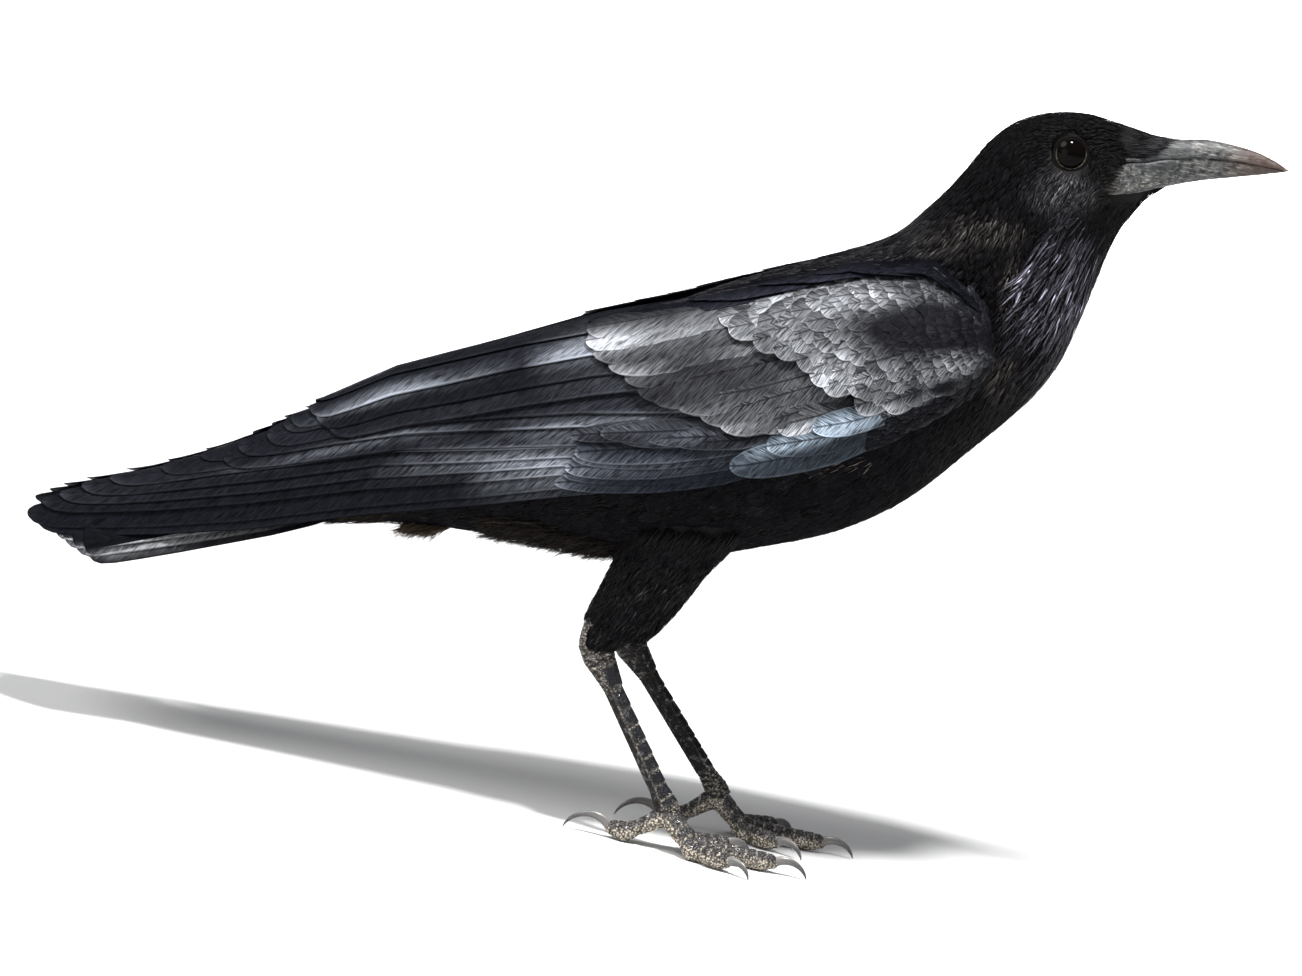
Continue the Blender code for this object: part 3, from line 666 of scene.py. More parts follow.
def vane_places(tree):
    """How far across and along its own vane a point is, in mm."""
    vane = tree.nodes.new("ShaderNodeUVMap")
    vane.uv_map = "Vane"
    return separate(tree, vane.outputs["UV"])


# How far a barb runs tipwards for each mm that it runs outwards
BARB_SLANT = 1.35
SHAFT_BLACK = (0.004, 0.004, 0.005)


def feather_finish(name, pale, gloss, roughness, rim_light, barb_depth, tint=(1, 1, 1)):
    """Barbs, shaft and paler rim of a vane, over the colour and painted light that the vane carries: where
    the painted light is, barbs and rim take the pale tone as a painted highlight.
    """
    material, tree, shader = new_material(name)

    def times(a, b):
        return math_node(tree, "MULTIPLY", a, b)

    places = vane_places(tree)
    across = math_node(tree, "ABSOLUTE", places[0])
    slant = math_node(tree, "MULTIPLY_ADD", across, -BARB_SLANT, places[1])
    seed = attribute(tree, "seed", "Fac")
    wide = noise(tree, combine(tree, slant, times(across, 0.2), seed), 0.8, 3, 0.6)
    fine = noise(tree, combine(tree, slant, times(across, 0.14), seed), 2.5, 3, 0.65)
    barbs = math_node(tree, "ADD", times(wide, 0.22), times(fine, 0.78))
    own = attribute(tree, "tone", "Color")
    sheen = attribute(tree, "sheen", "Fac")
    # Where the vane carries painted light, barbs and rim take the pale tone: a painted highlight
    lit = times(ramp(tree, barbs, 0.41, 0.63, 0.08, 1.1), sheen)
    bright = blend_colour(tree, 1.0, own, (2.8, 2.8, 2.9), "MULTIPLY")
    colour = blend_colour(tree, ramp(tree, barbs, 0.42, 0.60), own, bright)
    colour = blend_colour(tree, lit, colour, pale)
    rim = times(ramp(tree, attribute(tree, "rim", "Fac"), 0.82, 1.0, 0.0, rim_light), sheen)
    colour = blend_colour(tree, rim, colour, tuple(1.7 * part for part in pale))
    colour = blend_colour(tree, ramp(tree, across, 0.2, 0.5, 0.75, 0.0), colour, SHAFT_BLACK)
    rough = ramp(tree, barbs, 0.38, 0.64, roughness + 0.16, roughness - 0.08)
    level = math_node(tree, "MULTIPLY_ADD", lit, gloss * 1.7, gloss * 0.06)
    dress(tree, shader, colour, rough, level, tint)
    bump(tree, shader, barbs, barb_depth, 0.0005)
    return material


def barb_finish(name, gloss, roughness, tint=(1, 1, 1), gloss_from_painted_light=False):
    """A narrow tuft of barbs: the colour that it carries, and a gloss that can follow the painted light
    that it carries.
    """
    material, tree, shader = new_material(name)
    own = attribute(tree, "tone", "Color")
    across, along, _ = vane_places(tree)
    drawn_out = math_node(tree, "MULTIPLY", along, 0.15)
    streak = noise(tree, combine(tree, across, drawn_out, attribute(tree, "seed", "Fac")), 3.0, 2)
    bright = blend_colour(tree, 1.0, own, (2.0, 2.0, 2.0), "MULTIPLY")
    colour = blend_colour(tree, ramp(tree, streak, 0.35, 0.65), own, bright)
    rough = ramp(tree, streak, 0.3, 0.7, roughness + 0.08, roughness - 0.08)
    level = math_node(tree, "MULTIPLY", attribute(tree, "sheen", "Fac"), gloss) if gloss_from_painted_light else gloss
    dress(tree, shader, colour, rough, level, tint)
    return material


# Tone of the painted highlight, gloss, roughness, lightness of the rim where painted light falls, depth of
# the barbs and tint of the gloss
finishes = {
    "covert": feather_finish("covert", (0.50, 0.515, 0.55), 0.50, 0.30, 0.5, 0.7, (0.90, 0.93, 1.0)),
    "lesser": feather_finish("lesser", (0.20, 0.21, 0.24), 0.26, 0.32, 0.3, 0.5, (0.85, 0.88, 1.0)),
    "thumb": feather_finish("thumb", (0.42, 0.51, 0.61), 0.60, 0.28, 0.6, 0.5, (0.70, 0.84, 1.0)),
    "hand": feather_finish("hand", (0.26, 0.28, 0.33), 0.24, 0.32, 0.9, 0.6, (0.76, 0.86, 1.0)),
    "quill": feather_finish("quill", (0.22, 0.235, 0.27), 0.15, 0.32, 0.8, 0.6, (0.78, 0.86, 1.0)),
    "tail": feather_finish("tail", (0.34, 0.345, 0.36), 0.25, 0.34, 0.3, 0.6, (0.90, 0.92, 1.0)),
    # The shoulder's highlight tone is kept dark: these feathers are painted as in shade
    "shoulder": feather_finish("shoulder", (0.05, 0.053, 0.075), 0.04, 0.42, 0.3, 0.5, (0.74, 0.78, 1.0)),
    "contour": feather_finish("contour", (0.05, 0.05, 0.05), 0.04, 0.65, 0.0, 0.3),
    "down": barb_finish("down", 0.04, 0.65),
    "silk": barb_finish("silk", 0.06, 0.54),
    "mantle": barb_finish("mantle", 0.34, 0.38, (0.88, 0.90, 1.0)),
    "hackle": barb_finish("hackle", 0.75, 0.28, (0.90, 0.88, 1.0), gloss_from_painted_light=True),
}


def skin_finish():
    material, tree, shader = new_material("skin_under_feathers")
    patches = noise(tree, object_place(tree), 260.0, 5, 0.6)
    colour = blend_colour(tree, patches, (0.004, 0.004, 0.005), (0.012, 0.010, 0.009))
    dress(tree, shader, colour, 0.8, 0.15)
    bump(tree, shader, patches, 0.6, 0.0008)
    return material


skin.data.materials.append(skin_finish())
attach(skin, "root")
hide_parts("torso", "neck", "head", "thigh_right", "thigh_left")
print("finishes:", sorted(finishes))

# %% [markdown]
# ## Feathers
#
# All feathers, from a four millimetre tuft on the cheek to a flight quill, are the same
# thing at another size: a thin vane, arched across and closed underneath. They could be
# hair curves, but a mesh keeps each one solid. One function lays a whole tract of them at
# once, with the numbers that its material needs.

# %% Feather maker
TUFT = ((0.0, 0.55), (0.5, 1.0), (1.0, 0.0))
LOCK = ((0.0, 0.5), (0.35, 1.0), (0.72, 0.72), (1.0, 0.0))
VANE = ((0.0, 0.45), (0.3, 0.9), (0.62, 1.0), (0.84, 0.8), (0.95, 0.48), (1.0, 0.16))
COVERT = (
    (0.0, 0.5), (0.16, 0.8), (0.34, 0.96), (0.52, 1.0), (0.68, 0.98),
    (0.8, 0.9), (0.89, 0.74), (0.95, 0.54), (0.985, 0.32), (1.0, 0.12),
)
QUILL = (
    (0.0, 0.5), (0.1, 0.75), (0.22, 0.92), (0.36, 1.0), (0.52, 1.0), (0.68, 1.0), (0.82, 0.98),
    (0.91, 0.95), (0.955, 0.88), (0.978, 0.74), (0.991, 0.52), (0.998, 0.26), (1.0, 0.1),
)
THREE = (-1.0, 0.0, 1.0)
FIVE = (-1.0, -0.55, 0.0, 0.55, 1.0)
NINE = (-1.0, -0.9, -0.6, -0.25, 0.0, 0.25, 0.6, 0.9, 1.0)
# Size of one vane's patch of the unwrap
PATCH = 0.003
# How softly, how deep and over how wide a strip vanes tuck in at a tract's edge
EDGE_SOFTNESS, EDGE_DEPTH, EDGE_WIDTH = 0.05, -2.0, 0.16
# A vane has risen to its full height at three quarters of its length
RISING = 1.35
# A vane's painted highlight is less on the side that its neighbour shades, least along its
# rim, where a painted shadow line runs, and by a different amount from one vane to the next
SIDE_SHADE, RIM_SHADE, PAINTED_LIGHT_SPREAD = 0.45, 0.9, 0.32
# How much of a vane's painted highlight is gathered towards its tip
TIP_LIGHT = 0.7


def vane_faces(rows, columns, pointed):
    """One vane's faces, outer ones first, each block with whether it shades smoothly."""
    grid = np.arange(rows * columns).reshape(rows, columns)
    if pointed:
        grid[-1] = grid[-1, 0]
    top = np.stack((grid[:-1, :-1], grid[1:, :-1], grid[1:, 1:], grid[:-1, 1:]), -1)
    under = np.stack((grid[:-1, 0], grid[:-1, -1], grid[1:, -1], grid[1:, 0]), -1)
    if not pointed:
        return [(top.reshape(-1, 4), True), (under, False), (np.stack((grid[0], grid[-1, ::-1])), False)]
    last = np.concatenate((top[-1][:, (0, 1, 3)], under[-1:, :3]))
    return [(top[:-1].reshape(-1, 4), True), (under[:-1], columns < 5), (last, True), (grid[:1], True)]


class Coat:
    """Feathers gathered into one mesh."""

    def __init__(self):
        self.parts = []
        self.count = 0

    def add(self, sheet, root, tip, width, shape, columns, rise, colour, sink=0.0, hand=1,
            camber=0.1, sway=0.0, fray=0.0, lowest=None, sheen=None, tip_light=TIP_LIGHT):
        """Vanes from root (u, v) to tip (u, v), raised from rise[0] to rise[1] mm."""
        root, tip = np.atleast_2d(root), np.atleast_2d(tip)
        count = len(root)
        width = np.broadcast_to(width, count)
        shape, columns = np.array(shape), np.array(columns)
        s, share = shape.T
        uv = root[:, None] + (tip - root)[:, None] * s[None, :, None]
        u, v = uv[..., 0], uv[..., 1]
        go = (tip - root)[:, None, :, None]
        ahead = sheet.read(sheet.along, u, v) * go[:, :, 0]
        ahead = ahead + sheet.read(sheet.across, u, v) * go[:, :, 1]
        length = np.linalg.norm(ahead, axis=-1).mean(-1)
        side = np.cross(unit(sheet.read(sheet.normal, u, v)), unit(ahead))
        du, dv = sheet.step(u, v, side)
        half = width[:, None] * share / 2
        sway, fray, low, high = (np.broadcast_to(r, count)[:, None] for r in (sway, fray, *rise))
        over = columns * half[..., None] + (sway * s**2)[..., None]
        level = mix(low, high, smooth(s * RISING)) + fray * s**3
        arch = camber * width[:, None, None] * (1 - columns**2) * share[:, None]
        h = level[..., None] + arch - sink * share[:, None] * (1 - hand * columns) / 2
        place_v = v[..., None] + dv[..., None] * over
        if lowest is not None:
            near = np.minimum((place_v - lowest - EDGE_SOFTNESS) / EDGE_SOFTNESS, 0.0)
            place_v = np.where(near < 0, lowest + EDGE_SOFTNESS * np.exp(near), place_v)
            h = mix(EDGE_DEPTH, h, smooth((place_v - lowest) / EDGE_WIDTH))
        points = sheet.at(u[..., None] + du[..., None] * over, place_v, h)
        rows, across = len(s), len(columns)
        pointed = share[-1] == 0
        seed = np.round(rng.random(count) * 50, 2)
        rim = np.maximum(np.abs(columns)[None], s[:, None] ** 8)
        zeros = np.zeros((count, rows, across))
        far = (s * length[:, None] + seed[:, None])[..., None]
        vane_uv = np.stack((columns * half[..., None] + zeros, far + zeros), -1)
        if sheet.ring:
            root = np.stack((root[:, 0], root[:, 1] % 1.0), -1)
        corner = sheet.corner + sheet.size * np.clip(root, 0, 1)
        patch = np.stack((columns * share[:, None] / 2, (s - 0.5)[:, None] + 0 * columns), -1)
        bake = corner[:, None, None] + PATCH * patch
        keep = rows * across if not pointed else (rows - 1) * across + 1
        colour = np.broadcast_to(colour, (count, 3))
        # Painted light at each point: the painted highlight of its place, cut by painted shade on the
        # vane's shaded side and along its rim, and gathered towards its tip
        painted_light_level = 0.0 if sheen is None else sheen(points[..., 0], place_v)
        painted_light_level = painted_light_level * (1 - SIDE_SHADE * (1 - hand * columns)) * mix(1 - tip_light, 1, s[:, None] ** 2)
        if across == len(NINE):
            painted_light_level = painted_light_level * (1 - RIM_SHADE * (np.abs(columns) == 1) * (1 - s[:, None] ** 8))
        painted_light_level = painted_light_level * np.exp(rng.normal(0, PAINTED_LIGHT_SPREAD, (count, 1, 1)))

        def flat(values, size):
            values = np.broadcast_to(values, (count, rows, across, size))
            return values.reshape(count, rows * across, size)[:, :keep].reshape(-1, size)

        faces = []
        for block, soft in vane_faces(rows, across, pointed):
            moved = block[None] + (np.arange(count) * keep)[:, None, None] + self.count
            faces.append((moved.reshape(-1, block.shape[1]), soft))
        self.parts.append({
            "points": flat(points, 3),
            "Vane": flat(vane_uv, 2),
            "OFBake": flat(bake, 2),
            "rim": flat(rim[None, :, :, None], 1),
            "seed": flat(seed[:, None, None, None], 1),
            "sheen": flat((painted_light_level + zeros)[..., None], 1),
            "tone": flat(colour[:, None, None], 3),
            "faces": faces,
        })
        self.count += count * keep

    def gathered(self, word):
        return np.concatenate([part[word] for part in self.parts])

    def finish(self, name, finish, nodes=()):
        """The whole tract as one object."""
        faces = [block for part in self.parts for block in part["faces"]]
        corners = np.concatenate([block.ravel() for block, soft in faces])
        totals = np.concatenate([np.full(len(b), b.shape[1]) for b, soft in faces])
        flat = np.concatenate([np.full(len(b), not soft) for b, soft in faces])
        starts = np.concatenate(((0,), np.cumsum(totals)[:-1]))
        mesh = bpy.data.meshes.new(name)
        mesh.vertices.add(self.count)
        mesh.loops.add(len(corners))
        mesh.polygons.add(len(totals))
        mesh.vertices.foreach_set("co", stand(self.gathered("points")).ravel())
        mesh.loops.foreach_set("vertex_index", corners.astype(np.int32))
        mesh.polygons.foreach_set("loop_start", starts.astype(np.int32))
        mesh.update(calc_edges=True)
        mesh.attributes.new("sharp_face", "BOOLEAN", "FACE").data.foreach_set("value", flat)
        for word in ("OFBake", "Vane"):
            layer = mesh.uv_layers.new(name=word)
            layer.data.foreach_set("uv", self.gathered(word)[corners].ravel())
        for word in ("rim", "seed", "sheen"):
            layer = mesh.attributes.new(word, "FLOAT", "POINT")
            layer.data.foreach_set("value", self.gathered(word).ravel())
        paint(mesh, self.gathered("tone"))
        mesh.validate()
        fit_out(new_object(name, mesh), finishes[finish], nodes)
        print(f"{name}: {int((totals - 2).sum())} triangles")


# %% [markdown]
# ## Where feathers grow, and their colour
#
# Roots are scattered evenly over a surface and kept a set distance apart, as in a real
# feather tract. Each lies back along the body and a little down. The crow is black all
# over, browner and duller on the side of the neck and the belly, bluer on the wing.

# %% Tracts
def scatter(sheet, spacing, wanted, fill):
    """Roots spread over a sheet where wanted, none nearer to another than spacing mm."""
    area = np.linalg.norm(np.cross(sheet.along, sheet.across), axis=-1)[:-1, :-1]
    area = area / (sheet.cells[0] * sheet.cells[1])
    u, v = (np.arange(count) for count in sheet.cells)
    u, v = (each.ravel() for each in np.meshgrid(u, v, indexing="ij"))
    seen = np.zeros(len(u), bool)
    for du, dv in ((0, 0), (0, 1), (1, 0), (1, 1), (0.5, 0.5)):
        place = (u + du) / sheet.cells[0], (v + dv) / sheet.cells[1]
        seen |= wanted(sheet.at(*place, np.zeros(len(u))), *place)
    area = area.ravel() * seen
    tries = int(fill * area.sum() / spacing**2)
    cell = rng.choice(area.size, size=tries, p=area / area.sum())
    rows, columns = np.unravel_index(cell, sheet.cells)
    u = (rows + rng.random(tries)) / sheet.cells[0]
    v = (columns + rng.random(tries)) / sheet.cells[1]
    points = sheet.at(u, v, np.zeros(tries))
    keep = wanted(points, u, v)
    u, v, points = u[keep], v[keep], points[keep]
    filled = {}
    chosen = []
    keys = np.floor(points / spacing).astype(int)
    for k, (point, key) in enumerate(zip(points.tolist(), keys.tolist())):
        x, y, z = key
        near = (
            other
            for i in (x - 1, x, x + 1)
            for j in (y - 1, y, y + 1)
            for m in (z - 1, z, z + 1)
            for other in filled.get((i, j, m), ())
        )
        if all(math.dist(point, other) > spacing for other in near):
            filled.setdefault((x, y, z), []).append(point)
            chosen.append(k)
    return np.stack((u[chosen], v[chosen]), -1), points[chosen]


def body_flow(fall):
    """The lie of the coat on the body: tailwards, and down the sides by fall."""
    def flow(root, points):
        turn = np.sin(2 * math.pi * root[:, 1:])
        back, down = (unit(body.read(table, *root.T)) for table in (body.along, body.across))
        return unit(down * (fall * turn) - back)
    return flow


def along_flow(sheet):
    """The lie of tufts that run straight along their sheet."""
    return lambda root, points: unit(sheet.read(sheet.along, *root.T))


def toward(sheet, root, direction, length):
    """The tips of feathers that run from their roots in a direction."""
    du, dv = sheet.step(root[:, 0], root[:, 1], direction)
    return root + np.stack((du, dv), -1) * length[:, None]


# Browner, looser patches on the neck and breast, the last two painted glints on the flank: x, z, half sizes
# and how strong
FLUFF_AND_GLINTS = (
    (87, 241, 13, 5, 0.8), (66, 234, 14, 5, 0.6), (97, 218, 3, 14, 1.0), (99, 190, 6, 12, 0.9),
    (104, 203, 3, 10, 0.6), (46, 151, 11, 2.5, 1.7), (33, 147, 7, 2.5, 1.2),
)
# A grey painted highlight on the cheek: x, z and half sizes
CHEEK_HIGHLIGHT = (113, 256, 13, 7)
COAT_BLACK = np.array((0.0024, 0.0022, 0.0026))
COAT_BROWN = np.array((0.0220, 0.0196, 0.0184))
COAT_HIGHLIGHT_GREY = np.array((0.0170, 0.0165, 0.0180))


def spot(x, z, cx, cz, rx, rz, reach=1.5):
    """1 within an oval place, and fading out round it."""
    return smooth(reach - np.hypot((x - cx) / rx, (z - cz) / rz))


def varied(tones, spread, count):
    """A tone for each feather, lighter or darker from one to the next."""
    return np.asarray(tones) * np.exp(rng.normal(0, spread, count))[:, None]


def one_tone(tone, spread):
    return lambda points: varied(tone, spread, len(points))


def plumage_colour(points):
    """The coat's colour at places of the body, with grey painted highlights on the cheek and back and
    painted glints on the flank.
    """
    x, y, z = np.moveaxis(points, -1, 0)
    fluff_and_glint = np.zeros(len(points))
    for *place, amount in FLUFF_AND_GLINTS:
        fluff_and_glint = np.maximum(fluff_and_glint, spot(x, z, *place) * amount * smooth(np.abs(y) / 14))
    belly = smooth((150 - z) / 40) * 0.08
    cheek_highlight = spot(x, z, *CHEEK_HIGHLIGHT)
    colour = mix(COAT_BLACK, COAT_BROWN, np.maximum(fluff_and_glint, belly)[..., None])
    # A grey painted highlight along the top of the back, where light falls from above
    back = smooth((z - 176 - 0.42 * x) / 12) * smooth((x + 70) / 40) * smooth((76 - x) / 20)
    colour = mix(colour, COAT_HIGHLIGHT_GREY, np.maximum(cheek_highlight, 0.8 * back)[..., None])
    # Tones vary more in the fluff and the cheek's painted highlight, and low on the thighs, where the
    # spread stands for painted glints
    lively = mix(0.35, 0.75, np.maximum(fluff_and_glint, cheek_highlight)) + 0.35 * (z < 100)
    return colour * np.exp(rng.normal(0, 1, len(points)) * lively)[:, None]


# The broad feathers under the fine barbs are all nearly black
plain_colour = one_tone((0.0030, 0.0028, 0.0032), 0.2)


def coat_patch(coat, sheet, spacing, wanted, fill, flow, length, width, shape, columns, rise,
               camber=0.14, sway=0.5, fray=0.3, stray=0.15, colour=plumage_colour, sheen=None):
    """One tract of small feathers, with small differences from one to the next."""
    root, points = scatter(sheet, spacing, wanted, fill)
    direction = flow(root, points)
    wild = rng.normal(0, stray, direction.shape)
    count = len(root)
    long = length * np.exp(rng.normal(0, 0.14, count))
    tip = toward(sheet, root, unit(direction + wild), long)
    coat.add(
        sheet, root, tip, width * np.exp(rng.normal(0, 0.12, count)), shape, columns,
        rise, colour(points), camber=camber,
        sway=rng.normal(0, sway, count), fray=np.abs(rng.normal(0, fray, count)), sheen=sheen,
    )


def grow(name, finish, *patch, **words):
    """A tract that is an object of its own."""
    coat = Coat()
    coat_patch(coat, *patch, **words)
    coat.finish(name, finish)


# %% [markdown]
# ## The body's coat
#
# Back, breast and belly carry broad loose feathers that merge into one another, with fine
# barbs over them that break up their edges. Neck and head narrow to silky tufts. The
# lengths follow the real bird: fourteen millimetres on the belly, four on the face.

# %% Torso, neck and head
# Where the tracts lie along the body, and how far they reach under the wing
TORSO_REACH, NECK_REACH, HEAD_REACH = (0.015, 0.52), (0.47, 0.72), (0.69, 0.985)
UNDER_WING = 0.14
# The back's own barbs end this far round from the middle
BACK_REACH = 0.2
# The lower horn's hind edge on the face, from below to above, and the heights between which
# and the half width outside which it takes up the head's surface
RAMUS = ((130.4, 254.2), (133.8, 267.0))
HORN_RISE, HORN_HALF = (252, 266.5), 4.5
LIDS_REACH = 6.7
torso_flow, neck_flow = body_flow(0.25), body_flow(0.35)


def head_flow(root, points):
    """Back from the bill, parted round the eye."""
    flow = body_flow(0.2)(root, points)
    for side in (-1, 1):
        centre, look = eye_frame(side)
        off = points - centre
        off -= (off @ look)[:, None] * look
        away = np.linalg.norm(off, axis=-1)
        near = smooth((15 - away) / 8) * (points[:, 1] * side > 0)
        flow = flow + unit(off) * near[:, None] * 0.8
    return unit(flow)


def behind_ramus(x, z):
    """How far a place lies behind the bill's base, in mm."""
    edge_x, edge_z = zip(*RAMUS)
    return np.interp(z, edge_z, edge_x) - x


def bare(points):
    """Places that horn or eyelids take up, where no feather grows."""
    x, y, z = np.moveaxis(points, -1, 0)
    horn = (behind_ramus(x, z) < 0) & (z > HORN_RISE[0]) & (z < HORN_RISE[1]) & (np.abs(y) > HORN_HALF)
    return horn | (eye_distance(points) < LIDS_REACH)


def torso_wanted(points, u, v):
    return (u > TORSO_REACH[0]) & (u < TORSO_REACH[1]) & ~under_wing(points, UNDER_WING)


def neck_wanted(points, u, v):
    ragged = u + rng.normal(0, 0.012, len(u))
    return (ragged > NECK_REACH[0]) & (ragged < NECK_REACH[1]) & ~under_wing(points, UNDER_WING)


def head_wanted(points, u, v):
    ragged = u + rng.normal(0, 0.01, len(u))
    return (ragged > HEAD_REACH[0]) & (u < HEAD_REACH[1]) & ~bare(points)


def back_wanted(points, u, v):
    off = np.minimum(v, 1 - v) + rng.normal(0, 0.01, len(v))
    return torso_wanted(points, u, v) & (off < BACK_REACH)


def flank_wanted(points, u, v):
    return torso_wanted(points, u, v) & (np.minimum(v, 1 - v) > BACK_REACH - 0.01)


def gape_wanted(points, u, v):
    x, y, z = np.moveaxis(points, -1, 0)
    return (np.abs(behind_ramus(x, z) - 4.8) < 1.6) & (z > 251) & (z < 270) & (np.abs(y) > 3)


def gape_flow(root, points):
    return unit(along_flow(body)(root, points) + np.array((0, 0, -0.6)))


def gape_colour(points):
    """The bristles at the bill's base are dusty, and darker away from it."""
    x, _, z = np.moveaxis(points, -1, 0)
    dust = smooth((6.0 - behind_ramus(x, z)) / 2.2) * smooth((z - 254) / 3) * smooth((267 - z) / 8)
    colour = mix(np.full(3, 0.003), np.array((0.026, 0.024, 0.0205)), dust[:, None])
    return varied(colour, 0.7, len(points))


def chin_wanted(points, u, v):
    return (u > 0.925) & (np.abs(v - 0.5) < 0.17)


def chin_flow(root, points):
    return unit(body.read(body.along, *root.T) + np.array((90.0, 0, 0)))


grow("torso_feathers", "contour", body, 3.2, torso_wanted, 4.0, torso_flow, 14.0, 8.0, VANE, FIVE,
     (-1.3, -0.4), camber=0.03, stray=0.08, colour=plain_colour)
grow("torso_barbs", "down", body, 1.15, flank_wanted, 1.6, torso_flow, 8.0, 0.7, TUFT, THREE,
     (-0.9, -0.1), camber=0.12, stray=0.16)
grow("mantle_barbs", "mantle", body, 1.0, back_wanted, 1.3, torso_flow, 7.0, 0.75, TUFT, THREE,
     (-0.9, -0.1), camber=0.12, stray=0.14)
grow("neck_feathers", "contour", body, 2.6, neck_wanted, 2.7, neck_flow, 10.0, 5.0, VANE, THREE,
     (-1.2, -0.5), camber=0.04, stray=0.08, colour=plain_colour)
grow("neck_barbs", "silk", body, 0.85, neck_wanted, 1.3, neck_flow, 7.5, 0.62, TUFT, THREE,
     (-0.8, -0.05), camber=0.12, stray=0.14)
grow("head_feathers", "silk", body, 0.6, head_wanted, 0.8, head_flow, 4.2, 0.6, TUFT, THREE,
     (-0.6, -0.08), camber=0.14, stray=0.08, sway=0.2, fray=0.04)
grow("gape_bristles", "silk", body, 0.45, gape_wanted, 1.2, gape_flow, 3.8, 0.3, LOCK, THREE,
     (0.0, 0.9), camber=0.2, stray=0.16, sway=0.4, fray=0.2, colour=gape_colour)
grow("chin_bristles", "silk", body, 0.5, chin_wanted, 1.5, chin_flow, 7.5, 0.42, LOCK, THREE,
     (-0.2, 0.2), camber=0.2, stray=0.06, sway=0.4, fray=0.1)

# %% [markdown]
# ## Ragged edges of the belly
#
# Feathers hang loose where they end: between the legs, and in a brown tuft under the vent.
# They could be cards cut to a ragged outline, but such a card looks flat from behind. So
# they are the same tufts as on the body, only longer, less even and lifted off it.

# %% Belly fringe
def belly_wanted(points, u, v):
    x, y, z = np.moveaxis(points, -1, 0)
    return (np.abs(x + 60) < 24) & (z < 112) & (np.abs(y) < 26)


def vent_wanted(points, u, v):
    x, y, z = np.moveaxis(points, -1, 0)
    return (np.abs(x + 108) < 7) & (z < 108) & (np.abs(y) < 11)


fringe_colour = one_tone((0.0070, 0.0056, 0.0046), 0.5)
vent_colour = one_tone((0.030, 0.022, 0.015), 0.5)
fringe = Coat()
coat_patch(fringe, body, 0.8, belly_wanted, 1.0, torso_flow,
           10.0, 0.6, LOCK, THREE, (-0.3, 1.2), stray=0.25, sway=1.2, fray=1.8,
           colour=fringe_colour)
coat_patch(fringe, body, 0.45, vent_wanted, 0.8, torso_flow,
           9.0, 0.7, LOCK, THREE, (0.2, 3.2), stray=0.2, sway=1.0, fray=2.6,
           colour=vent_colour)
fringe.finish("belly_fringe", "down")

# %% [markdown]
# ## Throat hackles
#
# The throat has longer, narrow, pointed feathers that hang free and catch the light in
# streaks. They could be longer barbs of the neck's coat, but then they would sink into it.
# So they are laid over it as separate locks, and stand a little proud.

# %% Throat hackles
def throat_wanted(points, u, v):
    ragged = u + rng.normal(0, 0.02, len(u))
    return (ragged > 0.60) & (ragged < 0.73) & (np.abs(v - 0.5) < 0.24)


def hackle_flow(root, points):
    return unit(neck_flow(root, points) + np.array((-0.5, 0, -0.1)))


def hackle_colour(points):
    """Steely grey streaks among black ones, brightest in a painted highlight on the middle of the throat.
    """
    x, _, z = np.moveaxis(points, -1, 0)
    lit = spot(x, z, 114, 222, 13, 15, reach=1.6)[:, None]
    colour = mix(np.array((0.003, 0.003, 0.004)), np.array((0.024, 0.023, 0.029)), lit)
    return varied(colour, 1.25, len(points))


def hackle_painted_light(x, v):
    """The gloss is strongest high on the throat, where the painted highlight lies."""
    return 0.45 + 1.7 * np.exp(-(((x - 116) / 10) ** 2))


grow("throat_hackles", "hackle", body, 1.2, throat_wanted, 0.9, hackle_flow, 11.0, 0.7, LOCK, THREE,
     (-0.3, 0.3), camber=0.16, stray=0.12, sway=0.7, colour=hackle_colour, sheen=hackle_painted_light)

# %% [markdown]
# ## Thighs
#
# A crow wears short trousers of soft feathers that end raggedly at the heel. One smooth
# cone would do from far off, but its edge would show against the bare shank. So broad
# feathers cover the cone, fine barbs cover those, and loose locks hang over the cuff.

# %% Thighs
def cuff_end(v):
    """How far down the thigh the feathers reach: least far behind the heel."""
    ahead = np.cos(2 * math.pi * v)
    return 0.82 + 0.06 * ahead - 0.26 * smooth(-1.1 * ahead)


def thigh_wanted(points, u, v):
    return u < cuff_end(v)


def cuff_wanted(points, u, v):
    past = u - cuff_end(v)
    return (past > -0.08) & (past < 0.05)


for word, sheet in thighs.items():
    down_thigh = along_flow(sheet)
    grow(f"thigh_feathers_{word}", "contour", sheet, 2.6, thigh_wanted, 6.0, down_thigh,
         10.0, 5.0, VANE, THREE, (-1.2, -0.4), camber=0.04, stray=0.08, colour=plain_colour)
    thigh_barbs = Coat()
    coat_patch(thigh_barbs, sheet, 0.95, thigh_wanted, 3.0, down_thigh,
               6.5, 0.65, TUFT, THREE, (-0.8, 0.0), camber=0.12, stray=0.16)
    coat_patch(thigh_barbs, sheet, 0.8, cuff_wanted, 1.5, down_thigh,
               5.5, 0.55, LOCK, THREE, (-0.7, 0.2), camber=0.12, stray=0.2, sway=0.6, fray=0.3)
    thigh_barbs.finish(f"thigh_barbs_{word}", "silk")

# %% [markdown]
# ## Wings
#
# A folded wing is read in tiers, each over the roots of the next: the long primaries, the
# secondaries, the broad tertials, the greater, middle and lesser coverts, the thumb's three
# feathers, and the shoulder feathers that fall over its upper edge. They could be drawn on
# one curved sheet, but then no tier would shade the next. So each tier is a row of vanes
# between a first and a last feather, raised a little over the tier before it.

